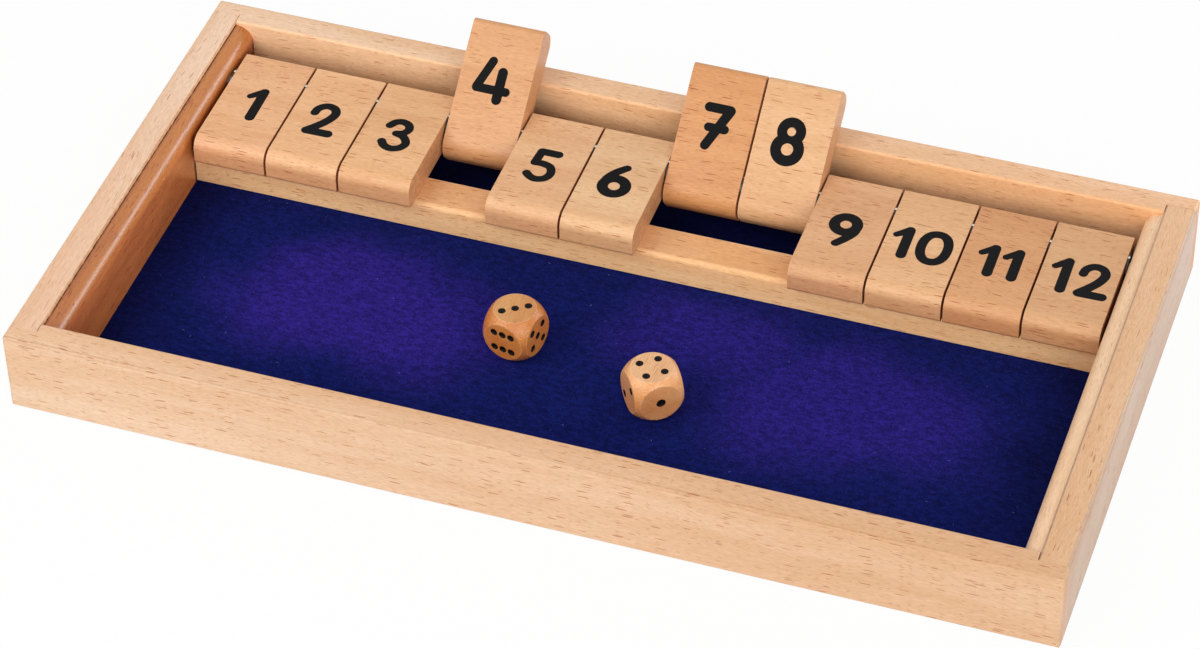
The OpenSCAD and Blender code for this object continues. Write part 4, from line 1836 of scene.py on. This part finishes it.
def soft_max(a: np.ndarray, b: np.ndarray, k: float) -> np.ndarray:
    """The larger of two values, rounded over k."""
    h = np.clip(0.5 + 0.5 * (a - b) / k, 0, 1)
    return b * (1 - h) + a * h + k * h * (1 - h)


@dataclass
class Die:
    """One wooden die with painted pips.

    Attributes:
        node: The CAD node that it stands for.
        faces: Pips on the top, front, right, back, left and bottom.
        turn: Its turn about Z, in degrees.
        finish: Its wood.
        ball: Radius of the ball that rounds its corners, over half its size.
        fillet: Softening between a flat face and the ball, and round a dimple.
        rim: Half the width of the painted highlight round a flat face.
        side_painted_light: How far the flat sides take the painted light, which the top takes in full.
        pip_step: Spacing of the pips.
        pip: Radius of a pip.
        one_pip: Radius of the single pip.
        depth: Depth of a pip.
        paint: Thickness of the paint in it.
        bedding: Depth of the paint's underside in the wood.
        paint_mesh: Facets round a pip's paint, and rings across it.
        grid: Cells along each face of the mesh.
        halvings: How often the search for the surface halves its step.
    """

    node: str
    faces: tuple[int, ...]
    turn: float
    finish: BeechFinish
    ball: float = 1.31
    fillet: float = 0.08
    rim: float = 0.06
    side_painted_light: float = 0.12
    pip_step: float = 3.1
    pip: float = 1.25
    one_pip: float = 1.55
    depth: float = 0.6
    paint: float = 0.03
    bedding: float = 0.02
    paint_mesh: tuple[int, int] = (32, 7)
    grid: int = 72
    halvings: int = 26

    def turns(self) -> list[Matrix]:
        """The turn that brings the top to each face, in the order of the faces."""
        angles = ((0, 0), (90, 0), (90, 90), (90, 180), (90, -90), (180, 0))
        return [Matrix.Rotation(math.radians(z), 3, "Z") @ Matrix.Rotation(math.radians(x), 3, "X") for x, z in angles]

    def spots(self) -> list[tuple[Matrix, float, float, float]]:
        """The place of each pip.

        Returns:
            For each, its face's turn, its place across and up the face, and its radius.
        """
        diagonal = [(-1, -1), (1, 1)]
        corners = diagonal + [(-1, 1), (1, -1)]
        layouts = {1: [(0, 0)], 2: diagonal, 3: diagonal + [(0, 0)], 4: corners, 5: corners + [(0, 0)],
                   6: corners + [(0, -1), (0, 1)]}
        return [(turn, u * self.pip_step, v * self.pip_step, self.one_pip if count == 1 else self.pip)
                for turn, count in zip(self.turns(), self.faces) for u, v in layouts[count]]

    def dimple(self, radius: float) -> float:
        """The radius of the ball that leaves a dimple of the given radius and the pips' depth."""
        return (radius ** 2 + self.depth ** 2) / (2 * self.depth)

    def frame_of(self) -> tuple[Vector, float, Matrix]:
        """Its middle, half its size in millimetres and its turn."""
        low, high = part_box(self.node)
        return (low + high) / 2, (high.z - low.z) / 2 / MM, Matrix.Rotation(math.radians(self.turn), 3, "Z")

    def body(self) -> bpy.types.Object:
        """The die's body: each ray from its middle is cut where it leaves the rounded, dimpled shape.

        Returns:
            The body with its finish.
        """
        middle, half, turn = self.frame_of()
        steps = np.tan(np.linspace(-math.pi / 4, math.pi / 4, self.grid + 1))
        u, v = np.meshgrid(steps, steps, indexing="ij")
        base = np.stack([u, v, np.ones_like(u)], -1).reshape(-1, 3)
        base /= np.linalg.norm(base, axis=1)[:, None]
        balls = [(np.array(way @ Vector((x, y, half - self.depth + self.dimple(radius)))), self.dimple(radius))
                 for way, x, y, radius in self.spots()]

        def outside(p: np.ndarray) -> np.ndarray:
            """How far points lie outside the die, with soft edges.

            Args:
                p: The points, one to a row, in millimetres from its middle.

            Returns:
                The distances, below zero inside it.
            """
            value = soft_max(np.abs(p).max(1) - half, np.linalg.norm(p, axis=1) - self.ball * half, self.fillet)
            for spot, size in balls:
                value = soft_max(value, size - np.linalg.norm(p - spot, axis=1), self.fillet)
            return value

        points, faces, n = [], [], self.grid + 1
        for side, way in enumerate(self.turns()):
            rays = base @ np.array(way).T
            near, far = np.full(len(rays), 0.5 * half), np.full(len(rays), 1.5 * half)
            for _ in range(self.halvings):
                mid = (near + far) / 2
                out = outside(rays * mid[:, None]) > 0
                far, near = np.where(out, mid, far), np.where(out, near, mid)
            points.append(rays * near[:, None])
            starts = [side * n * n + i * n + j for i in range(n - 1) for j in range(n - 1)]
            faces += [(a, a + n, a + n + 1, a + 1) for a in starts]
        placed = np.concatenate(points) @ np.array(turn).T * MM + np.array(middle)
        mesh = mesh_of(f"{self.node}_body", placed, faces, 5e-6)
        mesh.shade_smooth()
        spots = (face_values(mesh, "center") - np.array(middle)) @ np.array(turn) / MM
        flat, curve = np.abs(spots).max(1) - half, np.linalg.norm(spots, axis=1) - self.ball * half
        # Painted light on the flat faces, fullest on the top, and a painted highlight round them.
        mark_faces(mesh, planed=(flat > curve) * np.where(spots[:, 2] > half - self.rim, 1.0, self.side_painted_light),
                   worn_edge=np.abs(flat - curve) < self.rim)
        return new_object(f"{self.node}_body", mesh, self.finish.material())

    def bowl(self) -> bpy.types.Object:
        """The paint in one dimple, as a thin closed bowl round the origin, with its rim at height 0.

        Returns:
            The bowl.
        """
        size, (sides, rings) = self.dimple(self.pip), self.paint_mesh
        rim = math.asin(min(1.0, self.pip / size))
        angles, profile = [rim * k / rings for k in range(rings + 1)], []
        for radius, drop, order in ((size, self.bedding, angles), (size - self.paint, 0.0, angles[::-1])):
            profile += [(radius * math.sin(a), size - self.depth - radius * math.cos(a) - drop) for a in order]
        points = [(r * math.cos(2 * math.pi * k / sides) * MM, r * math.sin(2 * math.pi * k / sides) * MM, z * MM)
                  for r, z in profile for k in range(sides)]
        mesh = mesh_of("bowl", points, tube(len(profile), sides), 1e-8)
        mesh.shade_smooth()
        return new_object(f"{self.node}_bowl", mesh)

    @staticmethod
    def paint_tree(tree: Tree, get: Outputs) -> Socket:
        """Sets a bowl of paint in each dimple, turned by the point's own angles.

        Args:
            tree: The geometry tree.
            get: Its inputs.

        Returns:
            The bowls.
        """
        shape = tree.add("GeometryNodeObjectInfo", {"transform_space": "ORIGINAL"}, {"Object": get["Bowl"]})
        angles = tree.add("GeometryNodeInputNamedAttribute", {"data_type": "FLOAT_VECTOR"}, {"Name": "angles"})
        single = tree.add("GeometryNodeInputNamedAttribute", {"data_type": "FLOAT"}, {"Name": "single"})
        grow = tree.either(single.outputs[0], get["Single Scale"], 1.0)
        turn = tree.add("FunctionNodeEulerToRotation", {}, {0: angles.outputs[0]})
        return tree.add("GeometryNodeInstanceOnPoints", {}, {
            "Points": get["Geometry"], "Instance": shape.outputs["Geometry"], "Rotation": turn.outputs[0],
            "Scale": tree.join(grow, grow, 1.0)}).outputs[0]

    def pips(self, paint: bpy.types.Material) -> bpy.types.Object:
        """The painted pips as one piece.

        Args:
            paint: The paint's material.

        Returns:
            The pips, a plain piece.
        """
        middle, half, turn = self.frame_of()
        spots = self.spots()
        mesh = raw_mesh("pip points", [middle + turn @ (way @ Vector((x, y, half))) * MM for way, x, y, _ in spots])
        angles = mesh.attributes.new("angles", "FLOAT_VECTOR", "POINT")
        angles.data.foreach_set("vector", [a for way, _, _, _ in spots for a in (turn @ way).to_euler()])
        single = mesh.attributes.new("single", "FLOAT", "POINT")
        single.data.foreach_set("value", [float(r == self.one_pip) for _, _, _, r in spots])
        group = geometry_tree("painted pips", {"Geometry": "Geometry", "Bowl": "Object", "Single Scale": "Float"},
                              self.paint_tree)
        bowl = self.bowl()
        made = grown(new_object(f"{self.node}_pips", mesh), group, {
            "Bowl": bowl, "Single Scale": self.one_pip / self.pip, "Finish": paint})
        bpy.data.objects.remove(bowl)
        return made

    def build(self, paint: bpy.types.Material) -> None:
        """Builds and dresses the die.

        Args:
            paint: The pips' material.
        """
        hand_over(self.body(), self.node, "dice_beech", self.node)
        hand_over(self.pips(paint), self.node, "dice_beech")


def dice() -> list[Die]:
    """Both dice, each with its own wood.

    Returns:
        The dice.
    """
    wood = {"grain": Grain.ALONG_Y, "flecks": 0.6, "roughness": 0.30, "gloss": 0.6, "grit": 7.0}
    # The second tones by facing are painted light, paler on the flat tops.
    return [Die("die_1", (3, 6, 5, 1, 2, 4), -11.8,
                BeechFinish("die_1_beech", linear(218, 141, 68), linear(204, 119, 49), place=(9.0, 33.0, 70.0),
                            planed=(0.98, 1.28, 1.85), **wood)),
            Die("die_2", (4, 1, 5, 6, 2, 3), 38.0,
                BeechFinish("die_2_beech", linear(245, 180, 120), linear(230, 154, 92), place=(61.0, -25.0, 18.0),
                            planed=(0.91, 1.06, 1.30), **wood))]


# Studio


@dataclass(frozen=True)
class Lamp:
    """A square lamp that looks at the tray.

    Attributes:
        name: Its name.
        way: The direction from the tray to it.
        distance: How far away it stands, in metres.
        size: Its width and height, in metres.
        power: Its power, in watts.
    """

    name: str
    way: Point3
    distance: float
    size: Point2
    power: float

    def build(self) -> None:
        """Hangs the lamp."""
        data = bpy.data.lights.new(self.name, "AREA")
        data.shape, data.energy = "RECTANGLE", self.power
        data.size, data.size_y = self.size
        made = bpy.data.objects.new(self.name, data)
        out = Vector(self.way).normalized()
        turn = out.to_track_quat("Z", "Y").to_matrix().to_4x4()
        made.matrix_world = Matrix.Translation(out * self.distance) @ turn
        bpy.context.scene.collection.objects.link(made)


@dataclass
class Studio:
    """The camera, the lamps, the floor and the pale surroundings.

    Attributes:
        eye: Where the camera stands.
        forward: The way that it looks.
        right: Its right hand side.
        lens: Its focal length.
        sensor: Width of its sensor.
        sight: The nearest and furthest that it sees, in metres.
        sky: Light that comes from all round.
        lamps: The main lamp, one on the front right, and a low one behind on the right.
        ground: Half the floor's size, in metres.
        drop: How far the floor lies below the tray, in metres.
        ground_colour: The floor's colour.
        paper: Share of plain white in what the camera sees of the floor.
    """

    eye: Point3 = (327.46, -927.21, 917.45)
    forward: Point3 = (-0.24655, 0.69028, -0.68024)
    right: Point3 = (0.94658, 0.32204, -0.01629)
    lens: float = 124.05
    sensor: float = 36.0
    sight: Point2 = (0.01, 20.0)
    sky: float = 0.505
    lamps: tuple[Lamp, ...] = (
        Lamp("key", (-0.55, -0.55, 0.66), 1.3, (1.1, 0.9), 7.6),
        Lamp("fill", (0.55, -0.75, 0.42), 1.3, (1.0, 0.8), 8.6),
        Lamp("rim", (0.66, 0.69, 0.29), 1.1, (0.5, 0.25), 2.6))
    ground: float = 4.0
    drop: float = 0.0002
    ground_colour: Colour = (0.86, 0.86, 0.86)
    paper: float = 0.95

    def camera(self) -> None:
        """Sets up the camera."""
        data = bpy.data.cameras.new("view")
        data.sensor_width, data.lens, data.sensor_fit = self.sensor, self.lens, "HORIZONTAL"
        data.clip_start, data.clip_end = self.sight
        ahead, side = Vector(self.forward).normalized(), Vector(self.right).normalized()
        turn = Matrix((side, side.cross(ahead), -ahead)).transposed().to_4x4()
        made = bpy.data.objects.new("view", data)
        made.matrix_world = Matrix.Translation(Vector(self.eye) * MM) @ turn
        bpy.context.scene.collection.objects.link(made)
        bpy.context.scene.camera = made

    def floor(self) -> None:
        """Lays a pale floor that keeps a soft shadow."""
        ends = (-self.ground, self.ground)
        mesh = raw_mesh("floor", [(x, y, 0.0) for x in ends for y in ends], [(0, 2, 3, 1)])
        material = bpy.data.materials.new("pale_floor")
        tree = empty_tree(material)
        matte = tree.add("ShaderNodeBsdfDiffuse", {}, {"Color": self.ground_colour})
        white = tree.add("ShaderNodeEmission", {}, {"Color": (1.0, 1.0, 1.0), "Strength": 1.0})
        share = tree.times(tree.seen("Is Camera Ray", "Is Glossy Ray"), self.paper)
        mix = tree.add("ShaderNodeMixShader", {}, {0: share, 1: matte.outputs[0], 2: white.outputs[0]})
        tree.add("ShaderNodeOutputMaterial", {}, {"Surface": mix.outputs[0]})
        ground = new_object("floor", mesh, material)
        ground.location.z = -self.drop

    def surroundings(self) -> None:
        """Lights the scene from all round, and shows plain white behind."""
        world = bpy.data.worlds.new("white room")
        tree = empty_tree(world)
        seen = tree.seen("Is Camera Ray", "Is Glossy Ray", "Is Transmission Ray")
        glow = tree.add("ShaderNodeBackground", {}, {
            "Color": (1.0, 1.0, 1.0), "Strength": tree.either(seen, 1.0, self.sky)})
        tree.add("ShaderNodeOutputWorld", {}, {"Surface": glow.outputs[0]})
        bpy.context.scene.world = world
        bpy.context.scene.view_settings.view_transform = "Standard"

    def build(self) -> None:
        """Sets up the whole studio."""
        self.camera()
        for lamp in self.lamps:
            lamp.build()
        self.floor()
        self.surroundings()
        LOG.info("studio ready")


def main() -> None:
    """Builds the game piece by piece."""
    logging.basicConfig(level=logging.INFO, format="%(name)s %(message)s")
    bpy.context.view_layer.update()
    for part in (Studio(), Tray(), Felt(), HingeRod(), Washers(), TileRow()):
        part.build()
    paint = PlainFinish("pip_paint", linear(12, 10, 10), linear(20, 16, 15), (0.3, 0.3, 0.3), 0.45, 0.0, 0.01,
                        0.12).material()
    for die in dice():
        die.build(paint)


if __name__ == "__main__":
    main()
